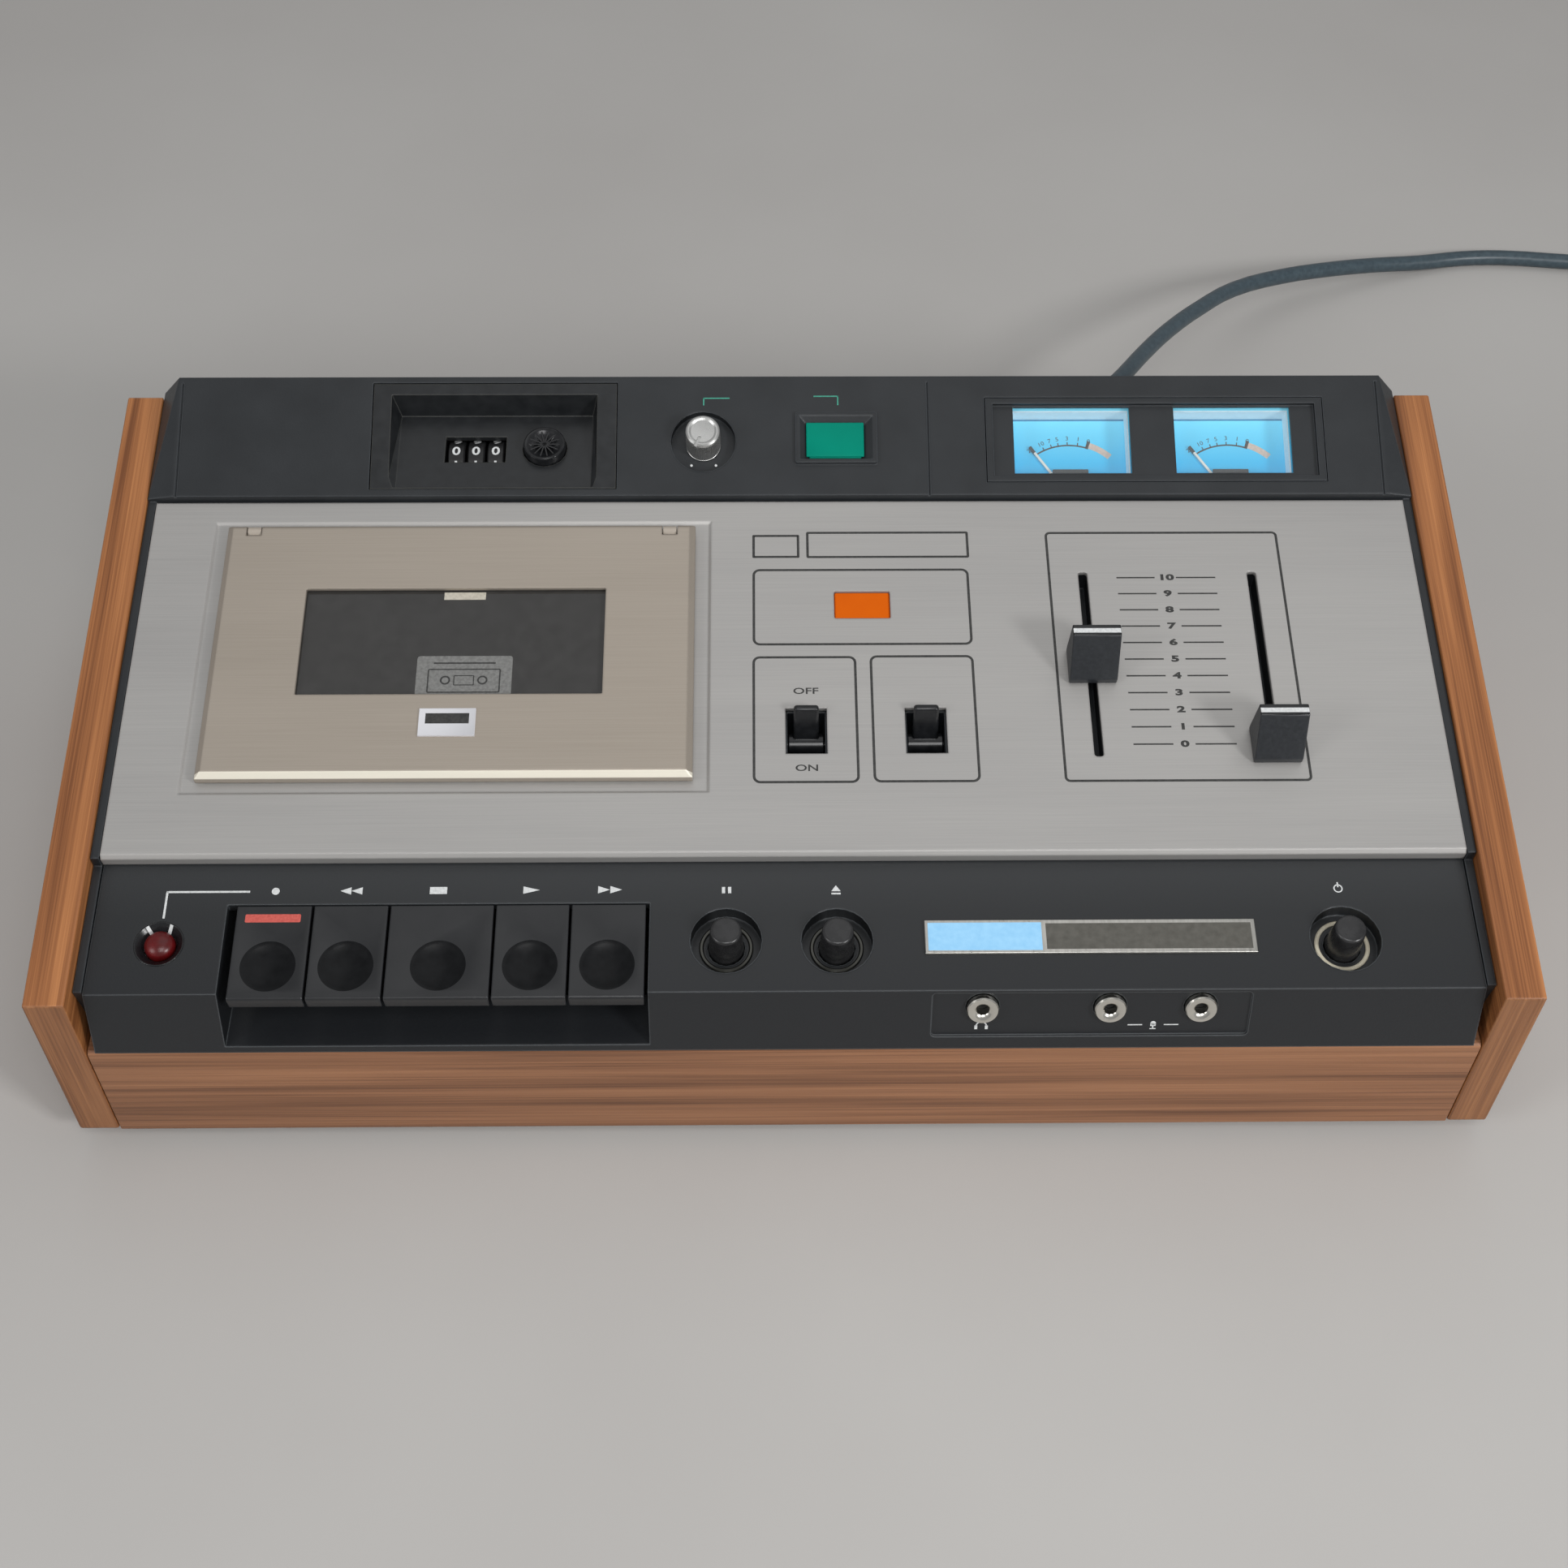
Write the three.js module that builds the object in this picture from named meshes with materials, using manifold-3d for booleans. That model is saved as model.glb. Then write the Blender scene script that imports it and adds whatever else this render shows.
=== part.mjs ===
// A top-loading stereo cassette deck of the 1970s with walnut cheeks, piano keys,
// two slide level controls and a raised hood that carries the counter and meters.
// Millimetres, X to the right, Y from front to back, Z up. The deck is built from the
// front lower edge of its cheeks and then moved so that its origin lies on the surface
// that it stands on, under the middle of the deck.

import * as THREE from "three";
import Module from "manifold-3d";
import { mergeVertices } from "three/addons/utils/BufferGeometryUtils.js";
import { ConvexGeometry } from "three/addons/geometries/ConvexGeometry.js";

const wasm = await Module();
wasm.setup();

// Driving dimensions of the whole deck.
const deck_width = 410;
const cheek_thickness = 11.2;
const cheek_front_height = 65.8;
const cheek_depth = 205.1;
const top_slope = THREE.MathUtils.degToRad(9.35);
const foot_height = 7;
const clearance = 0.3;
const overrun = 2;
const weld = 0.0001;
const plastic_wall = 2.5;
const sheet = 1.2;
const fine_sides = 24;
const plain_sides = 16;
const small_sides = 12;
const corner_steps = 3;

// Inner width between the cheeks, and the half width of what lies between the rails.
const inner_half = deck_width / 2 - cheek_thickness;
const rail_thickness = 2.3;
const field_half = inner_half - rail_thickness - 2 * clearance;

// Planes of the top, each with its lowest front line and its slope.
const crease_y = 6.3;
const crease_z = 61.9;
const fascia_slope = THREE.MathUtils.degToRad(8);
const hood_overhang = 1.4;
const hood_depth = 39.5;
const hood_back = cheek_depth + hood_overhang;
const hood_y = hood_back - hood_depth;
const hood_z = 94.5;
const hood_slope = THREE.MathUtils.degToRad(23.3);
const fascia_foot_y = 0.8;
const fascia_foot_z = 44.5;
const front_lean = Math.atan2(crease_z - fascia_foot_z, crease_y - fascia_foot_y);
const top_plane = { y: 0, z: cheek_front_height, angle: top_slope };
const fascia_plane = { y: crease_y, z: crease_z, angle: fascia_slope };
const front_plane = { y: fascia_foot_y, z: fascia_foot_z, angle: front_lean };
const hood_plane = { y: hood_y, z: hood_z, angle: hood_slope };

// Colours of the finishes.
const walnut = { color: 0x84583e, roughness: 0.5, metalness: 0 };
const black_plastic = { color: 0x2b2d30, roughness: 0.55, metalness: 0 };
const dark_plastic = { color: 0x1c1d1f, roughness: 0.45, metalness: 0 };
const aluminium = { color: 0xafadaa, roughness: 0.35, metalness: 0.9 };
const champagne = { color: 0xa2988c, roughness: 0.35, metalness: 0.8 };
const steel = { color: 0x8e9193, roughness: 0.4, metalness: 0.9 };
const nickel = { color: 0xd7d2c3, roughness: 0.25, metalness: 1 };
const brass = { color: 0xb08d3f, roughness: 0.3, metalness: 1 };
const rubber = { color: 0x1a1a1a, roughness: 0.85, metalness: 0 };
const smoked = { color: 0x464644, roughness: 0.15, metalness: 0 };
const orange = { color: 0xda6405, roughness: 0.4, metalness: 0 };
const green = { color: 0x009682, roughness: 0.4, metalness: 0 };
const red = { color: 0x7a1414, roughness: 0.2, metalness: 0 };
const meter_blue = { color: 0x3cb4dc, roughness: 0.5, metalness: 0 };
const clear = { color: 0xdfe8ee, roughness: 0.1, metalness: 0 };
const cord_grey = { color: 0x4b5a62, roughness: 0.6, metalness: 0 };
const cream = { color: 0xcfc4ac, roughness: 0.5, metalness: 0 };

// A closed geometry as a solid that can be joined and cut.
function solid(geometry) {
  const bare = geometry.clone();
  bare.deleteAttribute("normal");
  bare.deleteAttribute("uv");
  const merged = mergeVertices(bare, weld);
  const corners = merged.index.array;
  const triangles = [];
  for (let i = 0; i < corners.length; i += 3) {
    const [a, b, c] = corners.slice(i, i + 3);
    if (a !== b && b !== c && c !== a) triangles.push(a, b, c);
  }
  const vertProperties = merged.attributes.position.array;
  const triVerts = new Uint32Array(triangles);
  return new wasm.Manifold(new wasm.Mesh({ numProp: 3, vertProperties, triVerts }));
}

// The geometry of a joined or cut solid.
function geometryOf(body) {
  const surface = body.getMesh();
  const geometry = new THREE.BufferGeometry();
  geometry.setAttribute("position", new THREE.BufferAttribute(surface.vertProperties, 3));
  geometry.setIndex(new THREE.BufferAttribute(surface.triVerts, 1));
  geometry.computeVertexNormals();
  return geometry;
}

function joined(bodies) {
  return bodies.reduce((whole, body) => whole.add(body));
}

function cut(body, cutters) {
  return cutters.reduce((whole, cutter) => whole.subtract(cutter), body);
}

// A straight-sided block between two corners.
function blockShape([x0, x1], [y0, y1], [z0, z1]) {
  const geometry = new THREE.BoxGeometry(x1 - x0, y1 - y0, z1 - z0);
  return geometry.translate((x0 + x1) / 2, (y0 + y1) / 2, (z0 + z1) / 2);
}

function block(across, along, up) {
  return solid(blockShape(across, along, up));
}

// A rectangle with round corners, as an outline or a hole.
function roundedRectangle(path, [x0, x1], [y0, y1], radius) {
  path.moveTo(x0 + radius, y0);
  path.lineTo(x1 - radius, y0);
  path.absarc(x1 - radius, y0 + radius, radius, -Math.PI / 2, 0);
  path.lineTo(x1, y1 - radius);
  path.absarc(x1 - radius, y1 - radius, radius, 0, Math.PI / 2);
  path.lineTo(x0 + radius, y1);
  path.absarc(x0 + radius, y1 - radius, radius, Math.PI / 2, Math.PI);
  path.lineTo(x0, y0 + radius);
  path.absarc(x0 + radius, y0 + radius, radius, Math.PI, 1.5 * Math.PI);
  return path;
}

// A flat plate with round corners that stands on its outline.
function slab(across, along, [z0, z1], radius) {
  const outline = roundedRectangle(new THREE.Shape(), across, along, radius);
  const geometry = new THREE.ExtrudeGeometry(outline, {
    depth: z1 - z0,
    bevelEnabled: false,
    curveSegments: corner_steps,
  });
  return solid(geometry.translate(0, 0, z0));
}

// A side profile of points [y, z], drawn out along X.
function profileShape(points, [x0, x1]) {
  const outline = new THREE.Shape(points.map(([y, z]) => new THREE.Vector2(y, z)));
  const geometry = new THREE.ExtrudeGeometry(outline, { depth: x1 - x0, bevelEnabled: false });
  const turn = new THREE.Matrix4().makeBasis(
    new THREE.Vector3(0, 1, 0),
    new THREE.Vector3(0, 0, 1),
    new THREE.Vector3(1, 0, 0),
  );
  return geometry.applyMatrix4(turn).translate(x0, 0, 0);
}

function profile(points, across) {
  return solid(profileShape(points, across));
}

// A round bar upright on (x, y), and one along X on (y, z).
function upright(radius, [z0, z1], [x, y], sides = plain_sides) {
  const geometry = new THREE.CylinderGeometry(radius, radius, z1 - z0, sides);
  return solid(geometry.rotateX(Math.PI / 2).translate(x, y, (z0 + z1) / 2));
}

function crosswise(radius, [x0, x1], [y, z], sides = plain_sides) {
  const geometry = new THREE.CylinderGeometry(radius, radius, x1 - x0, sides);
  return solid(geometry.rotateZ(Math.PI / 2).translate((x0 + x1) / 2, y, z));
}

// A turned piece, upright on (x, y), from a profile of [radius, height].
function turnedShape(points, [x, y], sides = fine_sides) {
  const outline = points.map(([radius, height]) => new THREE.Vector2(radius, height));
  const geometry = new THREE.LatheGeometry(outline, sides);
  return geometry.rotateX(Math.PI / 2).translate(x, y, 0);
}

function turned(points, place, sides = fine_sides) {
  return solid(turnedShape(points, place, sides));
}

// The smallest convex form round named corners.
function hull(points) {
  return solid(new ConvexGeometry(points.map(([x, y, z]) => new THREE.Vector3(x, y, z))));
}

// A solid drawn in one of the sloping planes, carried into the deck's own frame.
function carried(body, plane) {
  const geometry = geometryOf(body).rotateX(plane.angle).translate(0, plane.y, plane.z);
  return solid(geometry);
}

// A point of the deck's side view, as it reads in a sloping plane.
function inPlane(plane, [y, z]) {
  const dy = y - plane.y;
  const dz = z - plane.z;
  const cos = Math.cos(plane.angle);
  const sin = Math.sin(plane.angle);
  return [dy * cos + dz * sin, dz * cos - dy * sin];
}

// A point of a sloping plane, as it reads in the deck's side view.
function inDeck(plane, [y, z]) {
  const cos = Math.cos(plane.angle);
  const sin = Math.sin(plane.angle);
  return [plane.y + y * cos - z * sin, plane.z + y * sin + z * cos];
}

function planeGroup(plane) {
  const group = new THREE.Group();
  group.position.set(0, plane.y, plane.z);
  group.rotation.x = plane.angle;
  return group;
}

function piece(group, name, shape, finish) {
  const geometry = shape.isBufferGeometry ? shape : geometryOf(shape);
  const mesh = new THREE.Mesh(geometry, new THREE.MeshStandardMaterial(finish));
  mesh.name = name;
  group.add(mesh);
  return mesh;
}

const deck = new THREE.Group();
const top = planeGroup(top_plane);
const fascia_top = planeGroup(fascia_plane);
const fascia_face = planeGroup(front_plane);
const hood_top = planeGroup(hood_plane);
deck.add(top, fascia_top, fascia_face, hood_top);

// Walnut cheeks: one board each side, its top sloping up to the back, with a small
// round at the lower front corner and a light break along its outer edges.
const cheek_corner = 2;
const cheek_edge = 0.5;
function topLine(y) {
  return cheek_front_height + y * Math.tan(top_slope);
}
function cheekShape() {
  const outline = new THREE.Shape();
  const low = cheek_edge;
  const back = cheek_depth - cheek_edge;
  outline.moveTo(low + cheek_corner, low);
  outline.lineTo(back, low);
  outline.lineTo(back, topLine(back) - cheek_edge);
  outline.lineTo(low, topLine(low) - cheek_edge);
  outline.lineTo(low, low + cheek_corner);
  outline.absarc(low + cheek_corner, low + cheek_corner, cheek_corner, Math.PI, 1.5 * Math.PI);
  const geometry = new THREE.ExtrudeGeometry(outline, {
    depth: cheek_thickness - 2 * cheek_edge,
    bevelEnabled: true,
    bevelThickness: cheek_edge,
    bevelSize: cheek_edge,
    bevelSegments: 1,
    curveSegments: 6,
  });
  const turn = new THREE.Matrix4().makeBasis(
    new THREE.Vector3(0, 1, 0),
    new THREE.Vector3(0, 0, 1),
    new THREE.Vector3(1, 0, 0),
  );
  return geometry.applyMatrix4(turn).translate(cheek_edge, 0, 0);
}
piece(deck, "left_cheek", cheekShape().translate(-deck_width / 2, 0, 0), walnut);
piece(deck, "right_cheek", cheekShape().translate(inner_half, 0, 0), walnut);

// Walnut strip across the front, under the black fascia.
const strip_height = 41.6;
const strip_thickness = 9;
const strip_front = 0.4;
const strip_round = 1.5;
const strip_back = strip_front + strip_thickness;
const strip_outline = [
  [strip_front, 0],
  [strip_back, 0],
  [strip_back, strip_height],
  [strip_front + strip_round, strip_height],
  [strip_front + strip_round / 3, strip_height - strip_round / 3],
  [strip_front, strip_height - strip_round],
];
const between = [-inner_half + clearance, inner_half - clearance];
piece(deck, "front_rail", profileShape(strip_outline, between), walnut);

// Steel base: a plate with upturned sides and a row of vent slots under the tape drive.
const base_lip = 10;
const base_front = strip_back + clearance;
const rear_face = cheek_depth - 1.6;
const base_back = rear_face - sheet - clearance;
const vent_count = 12;
const vent_pitch = 9;
const vent_width = 3.2;
const vent_along = [90, 136];
const vent_start = -152;
const base_parts = [
  block(between, [base_front, base_back], [0, sheet]),
  block([between[0], between[0] + sheet], [base_front, base_back], [0, base_lip]),
  block([between[1] - sheet, between[1]], [base_front, base_back], [0, base_lip]),
];
const base_cuts = [];
for (let i = 0; i < vent_count; i++) {
  const x = vent_start + i * vent_pitch;
  base_cuts.push(block([x, x + vent_width], vent_along, [-overrun, sheet + overrun]));
}
piece(deck, "base_plate", cut(joined(base_parts), base_cuts), steel);

// Four rubber feet under the corners of the base.
const foot_radius = 11;
const foot_taper = 1.5;
const foot_hollow = 4;
const foot_hollow_depth = 3;
const foot_break = 1;
const foot_inset_x = 38;
const foot_inset_y = 32;
const foot_outline = [
  [0, foot_hollow_depth - foot_height],
  [foot_hollow, foot_hollow_depth - foot_height],
  [foot_hollow, -foot_height],
  [foot_radius - foot_taper - foot_break, -foot_height],
  [foot_radius - foot_taper, foot_break - foot_height],
  [foot_radius, -clearance / 3],
  [0, -clearance / 3],
];
const foot_places = {
  front_left_foot: [-deck_width / 2 + foot_inset_x, foot_inset_y],
  front_right_foot: [deck_width / 2 - foot_inset_x, foot_inset_y],
  rear_left_foot: [-deck_width / 2 + foot_inset_x, cheek_depth - foot_inset_y],
  rear_right_foot: [deck_width / 2 - foot_inset_x, cheek_depth - foot_inset_y],
};
for (const [name, place] of Object.entries(foot_places)) {
  piece(deck, name, turnedShape(foot_outline, place, plain_sides), rubber);
}

// The brushed aluminium deck plate, with its front edge turned down, and its place
// along the top plane.
const plate_drop = 1;
const plate_thickness = 1.5;
const hood_lap = 1;
const hood_front = hood_y - hood_lap;
const plate_end_gap = 0.935;
const plate_front = 45.4;
const plate_back = hood_front / Math.cos(top_slope) - plate_end_gap;
const plate_lip = 4.1;
const plate_bevel = 1.1;
const plate_under = -plate_drop - plate_thickness;
const fascia_wall = 2.5;

// Black liners between the cheeks and the deck plate. They follow the fascia in front
// and the deck plate behind it, and are one moulding with the hood.
const rail_front = 6.3;
const rail_depth = 34;
const rail_low_top = -4.9;
const rail_high_top = -plate_drop - clearance;
const rail_lap = 4.7;
const rail_back = plate_back + rail_lap;
const rail_outline = [
  [rail_front, -rail_depth],
  [rail_back, -rail_depth],
  [rail_back, rail_high_top],
  [plate_front, rail_high_top],
  [plate_front - clearance, rail_low_top - clearance],
  [rail_front, rail_low_top + clearance],
];
const rail_across = [inner_half - clearance - rail_thickness, inner_half - clearance];

// Keys: five piano keys on one rod, the stop key the widest. The shares place their
// joints across the key opening.
const key_names = ["rec_key", "rewind_key", "stop_key", "play_key", "forward_key"];
const key_width_shares = [21.3, 21.1, 29.2, 20.9, 21.2];
const key_left = -152.3;
const key_right = -38.6;
const key_gap = 0.7;
const key_front = -1.2;
const key_rear = 26.7;
const key_proud = 0.4;
const key_plate = 3.2;
const key_lip = 4.2;
const key_nose = 0.9;
const key_skirt = 2.2;
const dish_radius = 7.6;
const dish_depth = 1.1;
const dish_place = 8.2;
const rod_radius = 1.6;
const rod_y = 62;
const rod_z = 56;
const hub_radius = 4;
const hub_half = 4.4;
const arm_half = 3.6;
const opening_left = -154.8;
const opening_right = -37.9;
const opening_rear = 27.3;

// The black front fascia: one moulding with a sloping top and front, side walls, the
// key opening with its ledge and rod brackets, three button wells, the lamp recess and
// the jack recess.
const fascia_bottom = strip_height + 2 * clearance;
const fascia_rear = 45;
const ledge_thickness = 2;
const ledge_depth = 17;
const bracket_rear = rod_y + hub_radius + 2 * clearance;
const well_radius = 9.9;
const well_depth = 5;
const well_wall = 1.8;
const button_places = {
  pause_button: [-16.7, 15.5],
  eject_button: [13.9, 15.3],
  power_button: [154.4, 15.2],
};
const button_radius = 4.9;
const button_reach = 6.3;
const button_stem = 14;
const button_flange = 7;
const button_flange_thickness = 1.5;
const button_travel = 4;
const button_running = 0.4;
const lamp_place = [-172.3, 15.4];
const lamp_well_radius = 6.6;
const lamp_well_depth = 2.2;
const lamp_radius = 4.2;
const jack_names = ["phone_jack", "left_mic_jack", "right_mic_jack"];
const jack_across = [53.5, 88.5, 113.4];
const jack_height = 11.9;
const jack_thread = 4.4;
const jack_recess = { across: [39.6, 127.2], along: [1.9, 17.2], depth: 0.8, round: 1.2 };

const crease = [crease_y, crease_z];
const face_slope = Math.tan(Math.PI / 2 - front_lean);
const face_low_y = crease_y - (crease_z - fascia_bottom) * face_slope;
const fascia_rear_top = inDeck(fascia_plane, [fascia_rear, 0]);
const fascia_rear_low = inDeck(fascia_plane, [fascia_rear, -fascia_wall]);
const under_crease = inDeck(fascia_plane, [fascia_wall, -fascia_wall]);
const shell_outline = [
  [face_low_y, fascia_bottom],
  [face_low_y + fascia_wall, fascia_bottom],
  under_crease,
  fascia_rear_low,
  fascia_rear_top,
  crease,
];
const wall_outline = [
  [face_low_y, fascia_bottom],
  [fascia_rear_low[0], fascia_bottom],
  fascia_rear_top,
  crease,
];
const bracket_outline = [
  [face_low_y + fascia_wall / 2, fascia_bottom],
  [bracket_rear, rod_z - hub_radius],
  [bracket_rear, rod_z + hub_radius],
  fascia_rear_low,
  under_crease,
];
const field = [-field_half, field_half];
const bracket_left = [opening_left - plastic_wall, opening_left];
const bracket_right = [opening_right, opening_right + plastic_wall];
const fascia_parts = [
  profile(shell_outline, field),
  profile(wall_outline, [-field_half, -field_half + plastic_wall]),
  profile(wall_outline, [field_half - plastic_wall, field_half]),
  profile(bracket_outline, bracket_left),
  profile(bracket_outline, bracket_right),
];
const screen_across = [bracket_left[0], bracket_right[1]];
const screen_along = [bracket_rear - clearance, bracket_rear + plastic_wall];
fascia_parts.push(block(screen_across, screen_along, [rod_z - hub_radius, rod_z + hub_radius]));
for (const place of Object.values(button_places)) {
  const cup_up = [-well_depth - well_wall, -fascia_wall / 2];
  const cup = upright(well_radius + well_wall, cup_up, place, small_sides);
  fascia_parts.push(carried(cup, fascia_plane));
}
const lamp_cup_low = -lamp_well_depth - well_wall;
const lamp_cup_up = [lamp_cup_low, -fascia_wall / 2];
const lamp_cup_radius = lamp_well_radius + well_wall;
const lamp_cup = upright(lamp_cup_radius, lamp_cup_up, lamp_place, small_sides);
fascia_parts.push(carried(lamp_cup, fascia_plane));
const opening_across = [opening_left, opening_right];
const opening_low = fascia_bottom + ledge_thickness;
const opening_rear_deck = inDeck(fascia_plane, [opening_rear, 0]);
const key_bay_outline = [
  [face_low_y - overrun, opening_low],
  [opening_rear_deck[0], opening_low],
  [opening_rear_deck[0], opening_rear_deck[1] + overrun],
  [face_low_y - overrun, opening_rear_deck[1] + overrun],
];
const fascia_cuts = [profile(key_bay_outline, opening_across)];
for (const place of Object.values(button_places)) {
  const bowl = upright(well_radius, [-well_depth, overrun], place, fine_sides);
  const hole = upright(button_radius + button_running, [-well_depth - overrun, 0], place);
  fascia_cuts.push(carried(bowl, fascia_plane), carried(hole, fascia_plane));
}
const lamp_bowl = upright(lamp_well_radius, [-lamp_well_depth, overrun], lamp_place, fine_sides);
const lamp_hole = upright(lamp_radius + clearance, [-lamp_well_depth - overrun, 0], lamp_place);
fascia_cuts.push(carried(lamp_bowl, fascia_plane), carried(lamp_hole, fascia_plane));
const { across: recess_across, along: recess_along, depth: recess_depth } = jack_recess;
const recess = slab(recess_across, recess_along, [-recess_depth, overrun], jack_recess.round);
fascia_cuts.push(carried(recess, front_plane));
for (const x of jack_across) {
  const hole = upright(jack_thread + clearance, [-2 * fascia_wall, 0], [x, jack_height]);
  fascia_cuts.push(carried(hole, front_plane));
}
for (const across of [bracket_left, bracket_right]) {
  const reach = [across[0] - overrun, across[1] + overrun];
  fascia_cuts.push(crosswise(rod_radius + clearance, reach, [rod_y, rod_z]));
}
const ledge_across = [opening_left - clearance, opening_right + clearance];
const ledge_along = [face_low_y + fascia_wall / 2, face_low_y + ledge_depth];
const ledge = block(ledge_across, ledge_along, [fascia_bottom, opening_low]);
piece(deck, "front_fascia", cut(joined(fascia_parts), fascia_cuts).add(ledge), black_plastic);

const rod_across = [bracket_left[0] - clearance, bracket_right[1] + clearance];
piece(deck, "key_rod", crosswise(rod_radius, rod_across, [rod_y, rod_z]), steel);

// One key: a dished cap with a rounded nose and a lip, and an arm to its hub on the rod.
const rod_place = inPlane(fascia_plane, [rod_y, rod_z]);
const cap_outline = [
  [key_front, -key_lip + key_proud],
  [key_front + key_skirt, -key_lip + key_proud],
  [key_front + key_skirt + key_nose, key_proud - key_plate],
  [key_rear, key_proud - key_plate],
  [key_rear, key_proud],
  [key_front + key_nose, key_proud],
  [key_front + key_nose / 3, key_proud - key_nose / 3],
  [key_front, key_proud - key_nose],
];
const arm_drop = key_plate / 2;
const arm_front_share = 0.75;
const arm_foot_share = 0.6;
const arm_hub_share = 0.6;
const arm_outline = [
  [key_rear * arm_front_share, key_proud - arm_drop],
  [key_rear, key_proud - key_plate],
  [rod_place[0], rod_place[1] + hub_radius * arm_hub_share],
  [rod_place[0], rod_place[1] - hub_radius * arm_hub_share],
  [key_rear, rod_place[1] + hub_radius],
  [key_rear * arm_foot_share, key_proud - arm_drop],
];
const dish_sphere = (dish_radius ** 2 + dish_depth ** 2) / (2 * dish_depth);
const dish_rings = 3;
const dish_outline = [];
for (let i = 0; i <= dish_rings; i++) {
  const radius = (dish_radius * i) / dish_rings;
  const rise = dish_sphere - Math.sqrt(dish_sphere ** 2 - radius ** 2);
  dish_outline.push([radius, key_proud - dish_depth + rise]);
}
dish_outline.push([dish_radius, key_proud + overrun], [0, key_proud + overrun]);
const key_share_sum = key_width_shares.reduce((sum, share) => sum + share, 0);
let key_edge = key_left;
key_names.forEach((name, i) => {
  const width = ((key_right - key_left) * key_width_shares[i]) / key_share_sum;
  const across = [key_edge + key_gap / 2, key_edge + width - key_gap / 2];
  const middle = key_edge + width / 2;
  key_edge += width;
  const hub = crosswise(hub_radius, [middle - hub_half, middle + hub_half], rod_place);
  const body = joined([
    profile(cap_outline, across),
    profile(arm_outline, [middle - arm_half, middle + arm_half]),
    hub,
  ]);
  const dish = turned(dish_outline, [middle, dish_place], 20);
  const bore = crosswise(rod_radius + clearance, [middle - width, middle + width], rod_place);
  piece(fascia_top, name, cut(body, [dish, bore]), dark_plastic);
});

// Push buttons for pause, eject and power: a round cap with a soft edge and a flange
// that stops it under the floor of its well.
const cap_edge = 0.8;
const cap_hollow = 0.5;
const flange_top = -well_depth - well_wall - clearance;
const button_outline = [
  [0, -button_stem],
  [button_radius - cap_edge, -button_stem],
  [button_radius - cap_edge, flange_top - button_flange_thickness],
  [button_flange, flange_top - button_flange_thickness],
  [button_flange, flange_top],
  [button_radius, flange_top],
  [button_radius, button_reach - cap_edge],
  [button_radius - cap_edge / 3, button_reach - cap_edge / 3],
  [button_radius - cap_edge, button_reach],
  [button_radius / 2, button_reach - (2 * cap_hollow) / 3],
  [0, button_reach - cap_hollow],
];
for (const [name, place] of Object.entries(button_places)) {
  piece(fascia_top, name, turnedShape(button_outline, place, 20), dark_plastic);
}

// Red record lamp: a domed lens with a flange under its recess.
const lamp_flange = 5.6;
const lamp_flange_thickness = 1.4;
const lamp_depth = 9;
const lamp_dome = 2.6;
const lamp_under = -lamp_well_depth - well_wall - clearance;
const lamp_outline = [
  [0, -lamp_depth],
  [lamp_radius, -lamp_depth],
  [lamp_radius, lamp_under - lamp_flange_thickness],
  [lamp_flange, lamp_under - lamp_flange_thickness],
  [lamp_flange, lamp_under],
  [lamp_radius, lamp_under],
];
const dome_steps = 4;
for (let i = 0; i <= dome_steps; i++) {
  const turn = (i / dome_steps) * (Math.PI / 2);
  const height = -lamp_well_depth / 2 + lamp_dome * Math.sin(turn);
  lamp_outline.push([i === dome_steps ? 0 : lamp_radius * Math.cos(turn), height]);
}
piece(fascia_top, "record_lamp", turnedShape(lamp_outline, lamp_place, 20), red);

// Three nickel jacks: a threaded bush with a round nut in front and a body behind.
const jack_bore = 1.8;
const jack_bore_depth = 16;
const jack_front = 1.3;
const jack_nose = 0.5;
const jack_shoulder = 4.95;
const jack_shoulder_depth = 9;
const jack_body = 7;
const jack_body_depth = 20;
const jack_behind = -fascia_wall - 3 * clearance;
const jack_outline = [
  [0, -jack_body_depth],
  [jack_body, -jack_body_depth],
  [jack_body, -jack_shoulder_depth],
  [jack_shoulder, -jack_shoulder_depth],
  [jack_shoulder, jack_behind],
  [jack_thread, jack_behind],
  [jack_thread, jack_front - jack_nose],
  [jack_thread - jack_nose, jack_front],
  [jack_bore + jack_nose, jack_front],
  [jack_bore, jack_front - jack_nose],
  [jack_bore, -jack_bore_depth],
  [0, -jack_bore_depth],
];
jack_names.forEach((name, i) => {
  piece(fascia_face, name, turnedShape(jack_outline, [jack_across[i], jack_height], 20), nickel);
});

// Openings of the deck plate: the cassette well with slots for the hinge ears, the
// tape lamp, two lever switches and two level controls, and the shallow bed of the lid.
const well_across = [-163, -30];
const well_along = [74, 152.5];
const well_round = 3;
const bed = { across: [-171.2, -22.3], along: [66.2, 159.2], depth: 0.6, round: 3, slope: 1.2 };
const pin_y = 154.6;
const ear_width = 4;
const ear_radius = 1.7;
const ear_lefts = [-161, -36];
const ear_slot = 2.1;
const lamp_window = { across: [15.2, 31.9], along: [124.4, 134.1], round: 0.5 };
const switch_names = ["mode_lever", "tape_lever"];
const switch_lefts = [0.3, 34.9];
const switch_width = 12;
const switch_along = [78, 93.2];
const fader_names = ["left_fader", "right_fader"];
const fader_across = [90.2, 141.1];
const slot_along = [76.7, 140.8];
const slot_width = 2.8;

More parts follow.
